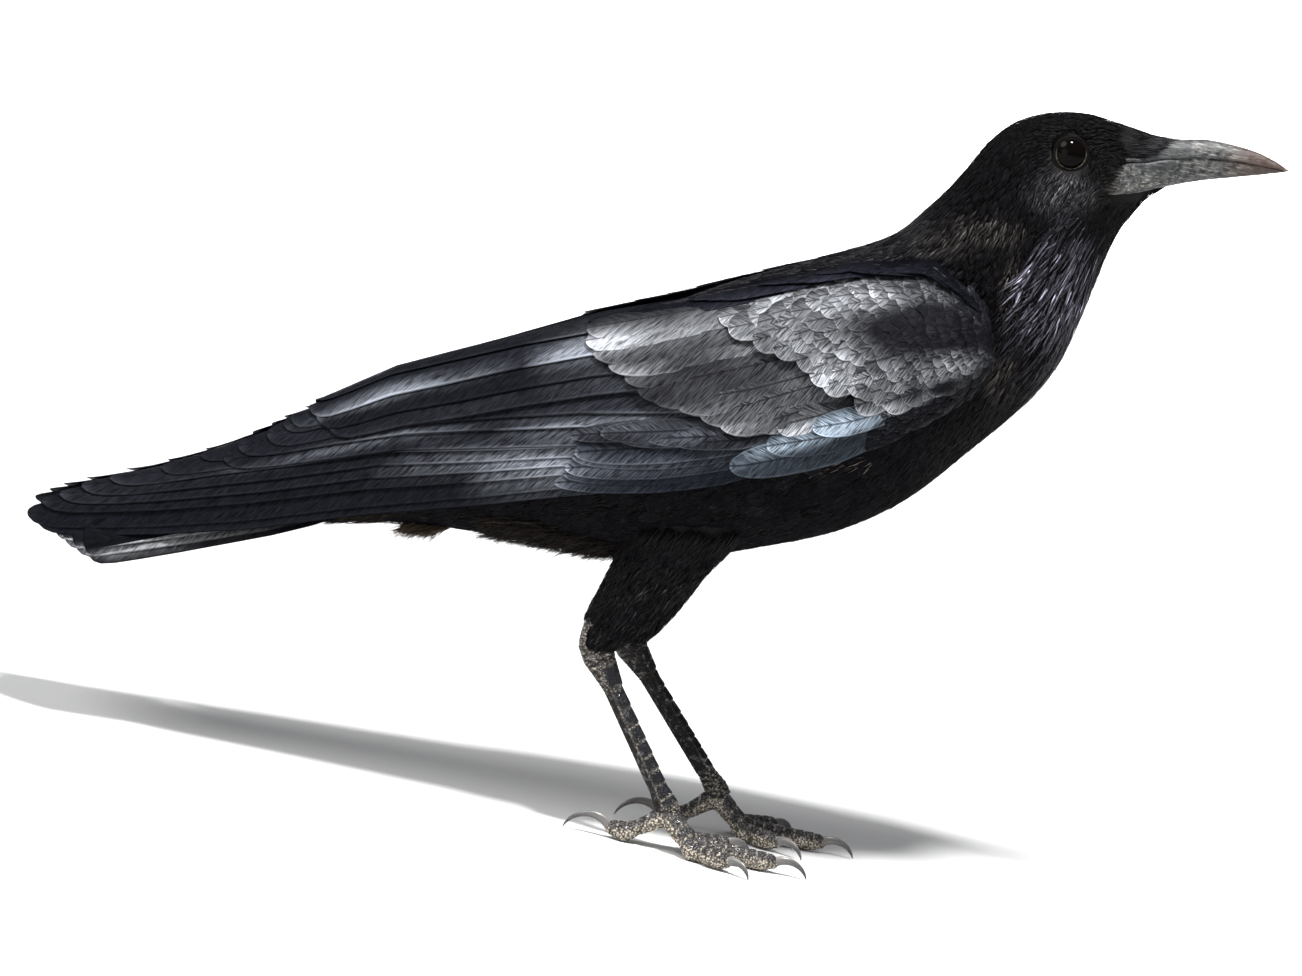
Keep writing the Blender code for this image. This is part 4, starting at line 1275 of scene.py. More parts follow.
# %% Wings
# Tips of the long feathers: x, and how far down the wing
PRIMARIES = (
    (-196, 0.26), (-211, 0.28), (-226, 0.32), (-239, 0.43),
    (-248, 0.57), (-255, 0.73), (-258, 0.91), (-252, 1.05),
)
SECONDARIES = ((-161, 0.10), (-167, 0.17), (-173, 0.24), (-180, 0.31), (-187, 0.40))
TERTIALS = ((-156, 0.01), (-156, 0.12), (-153, 0.24), (-149, 0.35))
# Tips, first root, last root, widths and rise of each row of quills
QUILL_ROWS = (
    (PRIMARIES, (-16, 0.70), (-10, 0.955), (17, 13), (-1.9, -0.3)),
    (SECONDARIES, (2, 0.36), (14, 0.80), (22, 18), (-1.7, 0.1)),
    (TERTIALS, (4, 0.06), (0, 0.40), (24, 23), (-1.0, 0.9)),
)
# The left wing's quills pass under the right wing's where they meet over the tail
UNDER_QUILLS = 1.2
# Count, roots, tips, widths, rise, sink, uneven placing in mm
TIERS = {
    "greater": (
        12, ((24, 0.08), (30, 0.45), (46, 0.74)),
        ((-60, 0.15), (-52, 0.31), (-38, 0.47), (-26, 0.575), (-6, 0.69), (16, 0.755)),
        (22, 13), (-0.9, 1.3), 1.5, 1.2,
    ),
    "hand": (5, ((12, 0.79), (10, 0.95)), ((-57, 0.80), (-61, 0.97)), (13, 11), (-0.8, 1.0), 1.7, 1.0),
    "inner hand": (
        5, ((6, 0.70), (30, 0.79)), ((-58, 0.71), (-40, 0.745), (-18, 0.785)),
        (9, 7), (-0.9, 1.25), 1.0, 1.5,
    ),
    "thumb": (
        3, ((66, 0.83), (58, 0.94)), ((29, 0.80), (13, 0.84), (0, 0.90)),
        (11, 13), (-0.6, 1.8), 1.4, 0.5,
    ),
}
# The shoulder's rows from behind to the front: count, roots, tips, widths
SHOULDER_ROWS = (
    (5, ((-14, 0.02), (0, 0.06)), ((-60, 0.055), (-50, 0.12)), (12, 11)),
    (6, ((4, 0.00), (20, 0.05)), ((-42, 0.03), (-31, 0.10)), (12, 10)),
    (6, ((22, -0.02), (40, 0.03)), ((-20, 0.00), (-8, 0.07)), (12, 9)),
    (6, ((40, -0.02), (58, 0.03)), ((4, 0.00), (18, 0.05)), (11, 8)),
    (6, ((56, -0.02), (72, 0.03)), ((24, 0.00), (38, 0.05)), (10, 7)),
    (7, ((70, -0.02), (86, 0.03)), ((42, 0.00), (56, 0.05)), (8, 5)),
    (8, ((80, -0.02), (90, 0.04)), ((58, 0.00), (74, 0.04)), (7, 4)),
)
SHOULDER_RISE = (0.4, 0.9, 1.6, 2.2, 2.5, 2.3, 2.1)
# The middle and lesser coverts fan out from the bend of the wing in rows of tips. Each pair
# is for the first and the last row: where it starts, bends and ends, and the sizes of its vanes
FAN_ROWS = 16
FAN_START = ((-27, 0.06), (82, 0.05))
FAN_MIDDLE = ((13, 0.43), (86, 0.32))
FAN_END = ((50, 0.76), (91, 0.80))
FAN_COUNT = (11, 16)
FAN_LENGTH = (18, 7)
FAN_WIDTH = (14.5, 6.2)
FAN_TOP = (2.2, 0.35)
FAN_SLOPE = (2.1, 0.75)
FAN_SINK = (1.0, 0.35)
WING_BEND = (93.0, 0.62)
# How many mm the wing measures down one hoop, roughly
WING_DEEP = 80
WING_TOP = -0.085
WING_SPREAD = 0.2
WING_BLACK = np.array((0.0024, 0.0026, 0.0036))
WING_GREY = np.array((0.0028, 0.0028, 0.0036))
WING_BLUE = np.array((0.0034, 0.0042, 0.0062))
# Painted highlights on a folded wing, painted shade where negative: x, v, half sizes and how strong
PAINTED_LIGHT_SPOTS = (
    (16, 0.20, 36, 0.12, 1.0), (42, 0.19, 20, 0.08, 0.6), (33, 0.55, 13, 0.12, 1.3),
    (12, 0.40, 16, 0.10, 0.65), (66, 0.34, 20, 0.14, -0.40), (-50, 0.25, 12, 0.07, 1.35),
    (-24, 0.26, 20, 0.07, 0.5), (-12, 0.52, 13, 0.11, 0.15), (10, 0.65, 18, 0.08, 0.5),
    (-40, 0.43, 10, 0.06, 0.3), (56, 0.66, 16, 0.10, 0.7), (79, 0.64, 7, 0.10, 0.9),
    (-42, 0.67, 22, 0.04, 1.2), (-14, 0.74, 16, 0.04, 0.9), (36, 0.79, 16, 0.04, 1.7),
    (52, 0.83, 14, 0.035, 1.6), (22, 0.845, 15, 0.035, 2.2), (-28, 0.88, 30, 0.05, 0.45),
    (-68, 0.85, 11, 0.13, 1.6), (-92, 0.78, 20, 0.08, 0.5), (-128, 0.28, 20, 0.04, 0.9),
    (-139, 0.57, 26, 0.035, 0.7), (-95, 0.46, 24, 0.04, 0.04), (-240, 0.55, 26, 0.22, 0.03),
    (76, 0.77, 3.5, 0.03, -1.2), (-8, 0.40, 18, 0.07, -0.1),
)
PAINTED_LIGHT_LIMITS = (0.015, 1.7)


def wing_painted_light(x, v):
    """How much painted highlight the vanes carry at each place of the wing."""
    total = 0.02 + 0.05 * smooth((x + 66) / 12) + 0.02 * smooth((x - 45) / 20)
    for cx, cv, rx, rv, amount in PAINTED_LIGHT_SPOTS:
        total = total + amount * np.exp(-(((x - cx) / rx) ** 2) - ((v - cv) / rv) ** 2)
    return np.clip(total, *PAINTED_LIGHT_LIMITS)


def row_through(points, count):
    """Places evenly spaced along a bent line."""
    points = np.array(points, float)
    stops = np.linspace(0, len(points) - 1, count)
    return np.stack([np.interp(stops, np.arange(len(points)), axis) for axis in points.T], -1)


def lay_row(coat, sheet, hand, root, tip, widths, rise, sink, uneven, base,
            camber=0.04, tip_light=TIP_LIGHT):
    """A tier of vanes, each a little out of line."""
    count = len(tip)
    root, tip = root.copy(), tip.copy()
    root[:, 0] += rng.normal(0, uneven, count)
    tip[:, 0] += rng.normal(0, uneven, count)
    tip[:, 1] += rng.normal(0, 0.004, count) * uneven
    root[:, 0] = np.minimum(root[:, 0], WING_FRONT - 2.0)
    width = np.linspace(*widths, count) * rng.uniform(0.88, 1.12, count)
    coat.add(
        sheet, wing_place(root), wing_place(tip), width, COVERT, NINE, rise,
        varied(base, WING_SPREAD, count), sink=sink, hand=hand, camber=camber,
        sway=rng.normal(0, 0.4, count), lowest=WING_TOP, sheen=wing_painted_light, tip_light=tip_light,
    )


def lay_fan(coat, sheet, hand):
    """Row after row of coverts that shorten towards the bend of the wing."""
    for k in range(FAN_ROWS):
        s = k / (FAN_ROWS - 1)
        start, middle, end = (mix(*np.array(each), s) for each in (FAN_START, FAN_MIDDLE, FAN_END))
        count = round(mix(*FAN_COUNT, s))
        t = (np.arange(count)[:, None] + 0.5 * (k % 2)) / (count - 0.5)
        tip = start * (1 - t) * (1 - 2 * t) + middle * 4 * t * (1 - t) + end * t * (2 * t - 1)
        length = mix(*FAN_LENGTH, s) * mix(1.0, 0.85, t)
        away = (np.array(WING_BEND) - tip) * (1, WING_DEEP)
        ahead = np.array((1.0, -0.15)) + 0 * away
        aim = unit(mix(ahead, unit(away), 0.75 * smooth(s * 1.3) * t + 0.2 * s))
        root = tip + aim * length * (1, 1 / WING_DEEP)
        top = mix(*FAN_TOP, s**0.8) * mix(0.15, 1.0, smooth(t[:, 0] * 3))
        lay_row(
            coat, sheet, hand, root, tip, [mix(*FAN_WIDTH, s) * k for k in (1.0, 0.85)],
            (top - mix(*FAN_SLOPE, s), top), mix(*FAN_SINK, s), mix(2.0, 0.4, s), WING_GREY,
            camber=0.03,
        )


def edge_wanted(points, u, v):
    """The smallest coverts, round the bend and along the front edge."""
    x = points[:, 0]
    bend = (x > 82) & (x < 92.6) & (v > 0.03)
    edge = (x > 56) & (v > 0.77 + rng.normal(0, 0.01, len(v)))
    return bend | edge


def cape_wanted(points, u, v):
    """Loose mantle feathers that fall over the wing's upper edge."""
    ragged = rng.normal(0, 0.008, len(v))
    return (points[:, 0] > -26) & (points[:, 0] < 88) & (v + ragged < 0.035)


def edge_flow(sheet):
    """Back along the wing, and out round its bend."""
    def flow(root, points):
        back, round_edge = (unit(sheet.read(table, *root.T)) for table in (sheet.along, sheet.across))
        out = (root[:, 1:] - WING_BEND[1]) * smooth((points[:, :1] - 76) / 14)
        return unit(back + round_edge * out * 0.8)
    return flow


def make_wing(word):
    sheet, hand = wings[word], 1 if word == "right" else -1
    quills = Coat()
    for tips, first, last, widths, rise in QUILL_ROWS:
        count = len(tips)
        rise = np.array(rise) - (0.0 if word == "right" else UNDER_QUILLS)
        uneven_tips = np.array(tips) + rng.normal(0, 1, (count, 2)) * (1.0, 0.012)
        width = np.linspace(*widths, count) * rng.uniform(0.9, 1.1, count)
        quills.add(
            sheet, wing_place(row_through((first, last), count)), wing_place(uneven_tips),
            width, QUILL, NINE, rise, varied(WING_BLACK, WING_SPREAD, count),
            sink=2.2, hand=hand, camber=0.012, lowest=WING_TOP, sheen=wing_painted_light, tip_light=0.0,
        )
    quills.finish(f"wing_quills_{word}", "quill", [f"wing_{word}"])
    coverts, thumb, hand_coverts, lesser, shoulder = (Coat() for _ in range(5))
    places = {"thumb": thumb, "hand": hand_coverts, "inner hand": hand_coverts, "greater": coverts}
    for name, (count, roots, tips, widths, rise, sink, uneven) in TIERS.items():
        blue = name in ("hand", "thumb")
        lay_row(places[name], sheet, hand, row_through(roots, count), row_through(tips, count),
                widths, rise, sink, uneven, WING_BLUE if blue else WING_GREY,
                tip_light=0.15 if name == "thumb" else TIP_LIGHT)
    lay_fan(coverts, sheet, hand)
    # The shoulder rows are painted darker, as painted shade along the wing's upper edge
    for k, (count, roots, tips, widths) in enumerate(SHOULDER_ROWS):
        lay_row(shoulder, sheet, hand, row_through(roots, count), row_through(tips, count),
                widths, (0.3, SHOULDER_RISE[k]), 0.8, 1.5, WING_BLACK * 0.7, camber=0.03)
    coat_patch(lesser, sheet, 1.35, edge_wanted, 1.7, edge_flow(sheet), 8.5, 3.4, VANE, FIVE,
               (-0.5, 0.35), camber=0.015, fray=0.05, stray=0.04, sway=0.2,
               colour=one_tone(WING_GREY, WING_SPREAD), sheen=wing_painted_light)
    shoulder.finish(f"wing_shoulder_{word}", "shoulder")
    grow(f"cape_{word}", "mantle", sheet, 1.0, cape_wanted, 1.1, edge_flow(sheet), 9.0, 0.8,
         TUFT, THREE, (-1.2, 0.4), camber=0.12, stray=0.05, sway=0.3, fray=0.1)
    coverts.finish(f"wing_coverts_{word}", "covert")
    thumb.finish(f"wing_thumb_{word}", "thumb")
    hand_coverts.finish(f"wing_hand_coverts_{word}", "hand")
    lesser.finish(f"wing_lesser_coverts_{word}", "lesser")


make_wing("right")
make_wing("left")

# %% [markdown]
# ## Tail
#
# Twelve long feathers lie in a closed fan, with short ones over and under their roots. The
# fan could be one grooved sheet, but then its edges would not step down one by one. So each
# feather is a vane on its own flat sheet, with a painted highlight only where the next leaves it free.

# %% Tail
def tail_painted_light_of(layer):
    """Each tail feather carries a painted highlight along its outer part, less of it at its tip, and the
    outermost a painted shade at its edge.
    """
    end = tail_end(layer)

    def tail_painted_light(x, v):
        inner = 0.24 - 0.12 * smooth((end + 50 - x) / 40)
        tip = 1 - 0.8 * smooth((end + 12 - x) / 10)
        shade = 1 - 0.9 * smooth((v - 0.76) / 0.1) * (layer == TAIL_FEATHERS - 1)
        return 1.1 * smooth((v - 0.5 - inner) / 0.14) * smooth((-150 - x) / 60) * tip * shade
    return tail_painted_light


tail = Coat()
for layer in range(TAIL_FEATHERS):
    for side in (-1, 1):
        tail.add(
            tail_sheet(side, layer), (0.0, 0.5), (1.0, 0.5), TAIL_WIDTH, QUILL, NINE, (0.0, 0.0),
            varied(WING_BLACK, WING_SPREAD, 1), camber=0.02, hand=-side, sheen=tail_painted_light_of(layer),
            tip_light=0.0,
        )
tail.finish("tail_feathers", "tail", ["tail"])

# x, distance from the middle, z, length, droop over that length, width
OVER_TAIL = (
    (-116, 8, 128, 52, 15, 14), (-120, 12, 124, 46, 13, 13),
    (-124, 4, 126, 56, 16, 14), (-112, 4, 131, 46, 14, 13),
)
UNDER_TAIL = (
    (-112, 9, 107.5, 44, 5, 13), (-120, 5, 107.0, 46, 5, 13),
    (-128, 9, 108.0, 40, 6, 12), (-134, 4, 108.0, 42, 6, 12),
)
COVERT_SPAN = 14


def covert_line(y, length, droop):
    """From a tail covert's root to its tip, a little outwards and down."""
    return np.array((-length, y * 0.25, -droop))


def covert_sheet(x, y, z, length, droop, k, over):
    """The plane of one tail covert."""
    roll = math.radians(28 if over else 24) * np.sign(y)
    up = np.array((0, math.sin(roll), math.cos(roll) * (1 if over else -1)))
    out = unit(np.cross(up, (1.0, 0, 0)))
    s = np.linspace(0, 1, 9)[:, None, None]
    across = np.linspace(-0.5, 0.5, 3)[None, :, None] * COVERT_SPAN
    line = np.array((x, y, z)) + s * covert_line(y, length, droop)
    points = line + out * across + up * (0.25 * k + 1.2 * s * (1 - s))
    return Sheet(points, (0.60 + 0.03 * k, 0.50), (0.02, 0.08), outward=up)


under_tail = Coat()
# The coverts under the tail are painted darker than those over it, as painted shade underneath
for over, rows, name in ((True, OVER_TAIL, "over"), (False, UNDER_TAIL, "under")):
    tail_coverts = Coat()
    for k, (x, y, z, length, droop, width) in enumerate(rows):
        for side in (-1, 1):
            tail_coverts.add(
                covert_sheet(x, side * y, z, length, droop, k, over), (0.0, 0.5), (1.0, 0.5), width,
                COVERT, NINE, (0.0, 0.0), varied(WING_BLACK * (0.7 if over else 0.35), WING_SPREAD, 1),
                camber=0.03,
            )
    tail_coverts.finish(f"tail_coverts_{name}", "shoulder" if over else "contour")

for k, (x, y, z, length, droop, _) in enumerate(UNDER_TAIL):
    for side in (-1, 1):
        coat_patch(
            under_tail, covert_sheet(x, side * y, z, length, droop, k, False), 0.9,
            lambda points, u, v: u < 0.86, 3.0,
            lambda root, points: unit(covert_line(side * y, length, droop)) + 0 * points,
            8.0, 0.8, LOCK, THREE, (0.2, 0.9), stray=0.12, sway=0.8, fray=0.5, colour=fringe_colour,
        )
under_tail.finish("under_tail_down", "down")

# %% [markdown]
# ## Bill
#
# Two horn halves that meet in the dark mouth line. They are lofted from the same rows as
# the solids, with many more points, so that the ridge and the cutting edges stay smooth.

# %% Bill
# x, ridge, mouth line, underside and half width
BILL = (
    (143.2, 276.0, 267.0, 255.9, 6.9),
    (147.0, 275.8, 268.0, 257.6, 6.3),
    (154.0, 276.1, 269.4, 259.3, 5.6),
    (163.0, 276.9, 270.3, 261.6, 4.9),
    (173.0, 276.0, 270.4, 263.7, 4.1),
    (182.0, 274.2, 269.6, 265.5, 3.1),
    (189.0, 271.6, 268.9, 267.0, 2.0),
    (192.6, 269.7, 268.4, 267.8, 1.1),
    (194.2, 268.7, 268.2, 268.0, 0.35),
)
BILL_ARC = 33
MOUTH_GAP = 0.12
# The lower half is this much narrower than the upper, and both fill out towards the edges
LOWER_SHARE = 0.92
BILL_FULLNESS = 0.9
# Both halves run back along the face as bare horn, just outside the feathered head
UPPER_FACE = ((133.6, 276.0, 266.6), (136.5, 276.0, 266.7), (139.8, 276.0, 266.8))
LOWER_FACE = ((129.8, 261.0), (131.0, 264.0), (133.8, 266.0), (137.0, 266.5), (140.0, 266.7))
FACE_TOP = 269.4
FACE_UNDER = 254.6
FACE_PROUD = 0.35
FACE_LAST = 141.0
FACE_END = (157.0, 139.0)
FACE_LEAN = 0.22
FACE_WIDTH = 7.0
# The ring goes down the side over this much of its turn, and then inwards
FACE_TURN = 0.9


def face_side(x, z):
    return body_side(np.minimum(x, FACE_LAST) + 0 * z, z, BOXINESS) + FACE_PROUD


def face_ring(x, edge, w):
    """Half a ring of the lower horn, which hugs the side of the head and leans back."""
    limit = FACE_UNDER + 0.10 * max(0.0, x - 133)
    angle = np.linspace(0, math.pi, BILL_ARC)
    turn = np.minimum(angle, math.pi - angle)
    z = mix(edge, limit, np.clip(turn / FACE_TURN, 0, 1))
    inward = np.clip((turn - FACE_TURN) / (math.pi / 2 - FACE_TURN), 0, 1)
    x = x + FACE_LEAN * (z - edge)
    y = face_side(x, z) * (1 - inward) * min(1.0, w / FACE_WIDTH)
    return np.stack((x, y * np.sign(np.cos(angle)), z), -1)


def bill_half(name, upper):
    """Half rings from the face to the tip, each closed by a shallow floor inside."""
    behind = UPPER_FACE if upper else [(x, 0.0, mouth) for x, mouth in LOWER_FACE]
    rows = (*((*row, FACE_UNDER, FACE_WIDTH) for row in behind), *BILL)
    rings = []
    for x, ridge, mouth, under, w in catmull(rows, np.linspace(0, len(rows) - 1, 121)):
        edge = mouth + (MOUTH_GAP if upper else -MOUTH_GAP)
        reach = (ridge if upper else under) - edge
        w = w if upper else w * LOWER_SHARE
        face = float(smooth((FACE_END[0] - x) / (FACE_END[0] - FACE_END[1])))
        angle = np.linspace(0, math.pi, BILL_ARC)
        z = edge + reach * np.sin(angle) ** BILL_FULLNESS
        ring = np.stack((x + 0 * z, w * np.cos(angle), z), -1)
        if face > 0 and upper:
            hug = face_side(x, z) * face * smooth((FACE_TOP - z) / 1.5) * min(1.0, w / FACE_WIDTH)
            ring[:, 1] = np.sign(ring[:, 1]) * np.maximum(np.abs(ring[:, 1]), hug)
        elif face > 0:
            ring = mix(ring, face_ring(x, edge, w / LOWER_SHARE), face)
        inside = edge + (0.1 if upper else -0.1) * reach
        inner = np.array([(x, k * w, inside) for k in (-0.6, 0, 0.6)])
        rings.append(stand(np.concatenate((ring, inner))))
    return tube_object(name, rings)


def horn_finish(name):
    """Mottled, scratched horn, bluish black at its base and browner at its tip."""
    material, tree, shader = new_material(name)
    place = object_place(tree)
    mottle = noise(tree, place, 420.0, 6, 0.65)
    streak_place = tree.nodes.new("ShaderNodeMapping")
    streak_place.inputs["Scale"].default_value = (0.25, 1.0, 1.6)
    tree.links.new(place, streak_place.inputs["Vector"])
    scratches = noise(tree, streak_place.outputs["Vector"], 900.0, 4, 0.6)
    x, _, z = separate(tree, place)
    near_face = ramp(tree, x, 0.168, 0.182, 0.75, 0.0)
    at_base = math_node(tree, "MULTIPLY", near_face, ramp(tree, z, 0.282, 0.286))
    toward_tip = ramp(tree, x, 0.186, 0.204, 0.0, 0.7)
    mottled = ramp(tree, mottle, 0.36, 0.64)
    colour = blend_colour(tree, mottled, (0.012, 0.014, 0.017), (0.090, 0.092, 0.088))
    for share, tone in (
        (ramp(tree, scratches, 0.50, 0.68, 0.0, 0.8), (0.30, 0.29, 0.26)),
        (at_base, (0.012, 0.014, 0.018)),
        (toward_tip, (0.055, 0.029, 0.021)),
    ):
        colour = blend_colour(tree, share, colour, tone)
    dress(tree, shader, colour, ramp(tree, mottle, 0.3, 0.7, 0.42, 0.62), 0.3)
    bump(tree, shader, scratches, 0.4, 0.0003)
    return material


horn = horn_finish("bill_horn")
fit_out(bill_half("bill_upper_horn", True), horn, ["bill_upper"])
fit_out(bill_half("bill_lower_horn", False), horn, ["bill_lower"])
print("bill: 2 halves")

# %% [markdown]
# ## Bristles over the nostrils
#
# Stiff feathers lie forward over the base of the upper half and hide the nostrils. They
# could grow on the head's own surface, but it ends where the horn begins. So they get a
# sheet of their own that runs from the forehead on to the horn.

# %% Nasal bristles
# x, lower edge, top and half width
BRISTLE_ROWS = (
    (129.0, 267.0, 280.0, 11.2), (134.0, 267.6, 278.6, 9.9), (139.0, 268.3, 277.3, 8.7),
    (144.0, 269.2, 276.2, 7.6), (149.0, 270.2, 276.0, 6.7), (154.0, 271.2, 276.2, 5.9),
    (160.0, 271.8, 276.8, 5.2),
)


def bristle_table():
    x, low, top, w = catmull(BRISTLE_ROWS, np.linspace(0, len(BRISTLE_ROWS) - 1, 49)).T[..., None]
    angle = np.linspace(0, math.pi, 41)[None]
    z = low + (top - low) * np.sin(angle) ** BILL_FULLNESS
    return np.stack((x + 0 * angle, w * np.cos(angle), z), -1)


def bristle_wanted(points, u, v):
    """The tract ends further forward on the ridge than over the mouth."""
    end = np.interp(points[:, 2], (268, 276), (132.5, 142.5))
    return points[:, 0] + rng.normal(0, 0.8, len(u)) < end


def bristle_colour(points):
    tone = mix(0.0032, 0.0105, smooth((points[:, :1] - 129.5) / 8))
    return varied(tone * np.array((1.0, 1.0, 1.08)), 0.7, len(points))


bristle_sheet = Sheet(bristle_table(), (0.60, 0.80), (0.18, 0.08))
grow("nasal_bristles", "silk", bristle_sheet, 0.5, bristle_wanted, 4.0, along_flow(bristle_sheet),
     9.0, 0.4, LOCK, THREE, (0.0, 0.15), camber=0.2, stray=0.08, sway=0.5, fray=0.12,
     colour=bristle_colour)

# %% [markdown]
# ## Eyes
#
# A crow's eye is a moist ball, so dark that its iris hardly shows. A flat disc would do from
# the side, but it would lose its spark of light from anywhere else. So each eye is a whole
# ball, sunk in its orbit and turned a little forwards, with a very smooth finish.

# %% Eyes
def eye_ball(side, word):
    """A ball whose poles lie on the line of sight."""
    centre, look = eye_frame(side)
    turn = Vector((0, 0, 1)).rotation_difference(Vector(look)).to_matrix().to_4x4()
    place = Matrix.Translation(stand(centre)) @ Matrix.Rotation(-PITCH, 4, "Y") @ turn
    bm = bmesh.new()
    bmesh.ops.create_uvsphere(bm, u_segments=48, v_segments=32, radius=EYE_RADIUS * MM, matrix=place)
    return finished(bm, f"eyeball_{word}")


def eye_finish():
    material, tree, shader = new_material("moist_eye")
    shade = noise(tree, object_place(tree), 900.0, 3)
    colour = blend_colour(tree, shade, (0.0010, 0.0009, 0.0009), (0.0026, 0.0018, 0.0014))
    dress(tree, shader, colour, 0.05, 0.05)
    return material


eye_material = eye_finish()
for side, word in ((-1, "right"), (1, "left")):
    fit_out(eye_ball(side, word), eye_material, [f"eye_{word}"])
print("eyes: 2")

# %% [markdown]
# ## Eyelids
#
# Two lids close round the eye in one ring: a thin pale edge, dark folded skin outside it.
# They could be a bump on the face, but it would be too soft to cut off the ball's edge. So
# a closed ring swept round the line of sight gives each, with fine folds across it.

# %% Eyelids
def round_eye(side, radius, ahead, angle):
    """Points on circles round an eye's line of sight."""
    centre, look = eye_frame(side)
    level = unit(np.cross(look, (0, 0, 1.0)))
    up = np.cross(level, look)
    spoke = level * np.cos(angle)[..., None] + up * np.sin(angle)[..., None]
    return centre + look * np.asarray(ahead)[..., None] + spoke * np.asarray(radius)[..., None]


def lid_ring(name, side, radius, ahead, thick, folds):
    """A closed ring with fine radial folds, whose points know how low on the eye they lie."""
    around = np.linspace(0, 2 * math.pi, 97)[:-1, None]
    turn = np.linspace(0, 2 * math.pi, 13)[None, :-1]
    wrinkle = 1 + folds * np.sin(around * 23) * np.sin(around * 7 + 1)
    r = radius + thick * wrinkle * np.cos(turn)
    out = ahead + 0.7 * thick * wrinkle * np.sin(turn)
    below = smooth((0.35 - np.sin(around)) / 0.4) + 0 * turn
    obj = tube_object(name, stand(round_eye(side, r, out, around + 0 * turn)), joined=True)
    paint(obj.data, below[..., None] + np.zeros(3))
    return obj


def lid_finish(name, dark, light, roughness):
    """Thin bare skin, paler along the lower lid."""
    material, tree, shader = new_material(name)
    grain = noise(tree, object_place(tree), 1500.0, 4, 0.6)
    grainy = ramp(tree, grain, 0.38, 0.62, 0.2, 1.0)
    pale = math_node(tree, "MULTIPLY", attribute(tree, "tone", "Fac"), grainy)
    dress(tree, shader, blend_colour(tree, pale, dark, light), roughness, 0.05)
    bump(tree, shader, grain, 0.3, 0.0002)
    return material


lid_edge = lid_finish("lid_edge", (0.006, 0.005, 0.004), (0.11, 0.092, 0.07), 0.5)
lid_fold = lid_finish("lid_fold", (0.0025, 0.0025, 0.0025), (0.005, 0.0045, 0.004), 0.6)
for side, word in ((-1, "right"), (1, "left")):
    edge = lid_ring(f"lid_edge_{word}", side, EYE_VIEW - 0.3, 5.25, 0.17, 0.12)
    fit_out(edge, lid_edge, [])
    fold = lid_ring(f"lid_fold_{word}", side, EYE_VIEW + 0.35, 4.95, 0.6, 0.15)
    fit_out(fold, lid_fold, [])
print("lids: 4 rings")

# %% [markdown]
# ## Legs
#
# A crow's shank is a horn tube: a row of large overlapping plates down its front, smooth
# sheaths on its sides, and crinkled skin at the heel. The toes have smaller plates on top
# and knobbly pads below. A picture of scales on a plain tube would stay flat at its edge. So
# each is swept along its own line, with plates, grooves and pads worked out from how far
# along and how far round a point is.

# %% Legs
# How far from the heel, half depth and half width, and the same from the foot
SHANK_ROWS = (
    (-4.0, 5.3, 4.1), (-2.0, 5.6, 4.3), (3.0, 6.1, 4.7),
    (8.0, 5.0, 4.0), (14.0, 3.9, 3.2), (18.0, 3.3, 2.75),
)
SHANK_END = ((-9.0, 3.25, 2.7), (-7.0, 3.6, 3.2), (-2.0, 4.4, 4.1), (2.5, 3.9, 3.8))
SHANK_PLATES = 8
# The right foot is turned a little, so that its front plates show from the side
SHANK_TURN = {"right": -0.62, "left": 0.1}
# Name, angle from straight ahead, length, claw's chord and curve in degrees, plates and pads
TOES = (
    ("inner", 33, 29.0, 11.5, 100, 7, 3),
    ("middle", 0, 43.0, 13.0, 100, 11, 4),
    ("outer", -34, 31.0, 10.5, 100, 8, 3),
    ("hind", 176, 21.0, 17.0, 118, 6, 2),
)
TOE_DROP = 15.0
TOE_REST = 3.9
TOE_ROOT = (4.2, 3.9)
TOE_END = (3.0, 2.6)
HORN_BLUE = np.array((0.008, 0.010, 0.016))
SHEATH_BROWN = np.array((0.0085, 0.0070, 0.0062))
SCALE_PALE = np.array((0.42, 0.375, 0.325))
PAD_PALE = np.array((0.50, 0.44, 0.365))
# The far leg's shank and heel skin are painted in shade, as good as black down to its ankle
LEG_PAINTED_SHADE = {"right": 1.0, "left": 0.12}
# How far above the foot the plates give way to crinkled skin
ANKLE = {"right": 5.0, "left": 13.0}


def painted_tube(name, rings, tones):
    """A closed tube in metres whose points carry a colour."""
    obj = tube_object(name, rings)
    paint(obj.data, tones)
    return obj


UP = np.array((0, 0, 1.0))


def swept(middle, *spokes):
    """Rings round a middle line: each spoke is a direction and how far along it to go."""
    return middle + sum(way * far[..., None] for way, far in spokes)


def plate_relief(along, front):
    """Height in mm and bareness of plates: along counts them, front is 1 on them."""
    share = along % 1.0
    groove = np.exp(-((np.minimum(share, 1 - share) / 0.07) ** 2))
    height = front * (0.18 + 0.30 * share**1.5 - 0.35 * groove)
    return height, np.clip(groove + (1 - front), 0, 1)


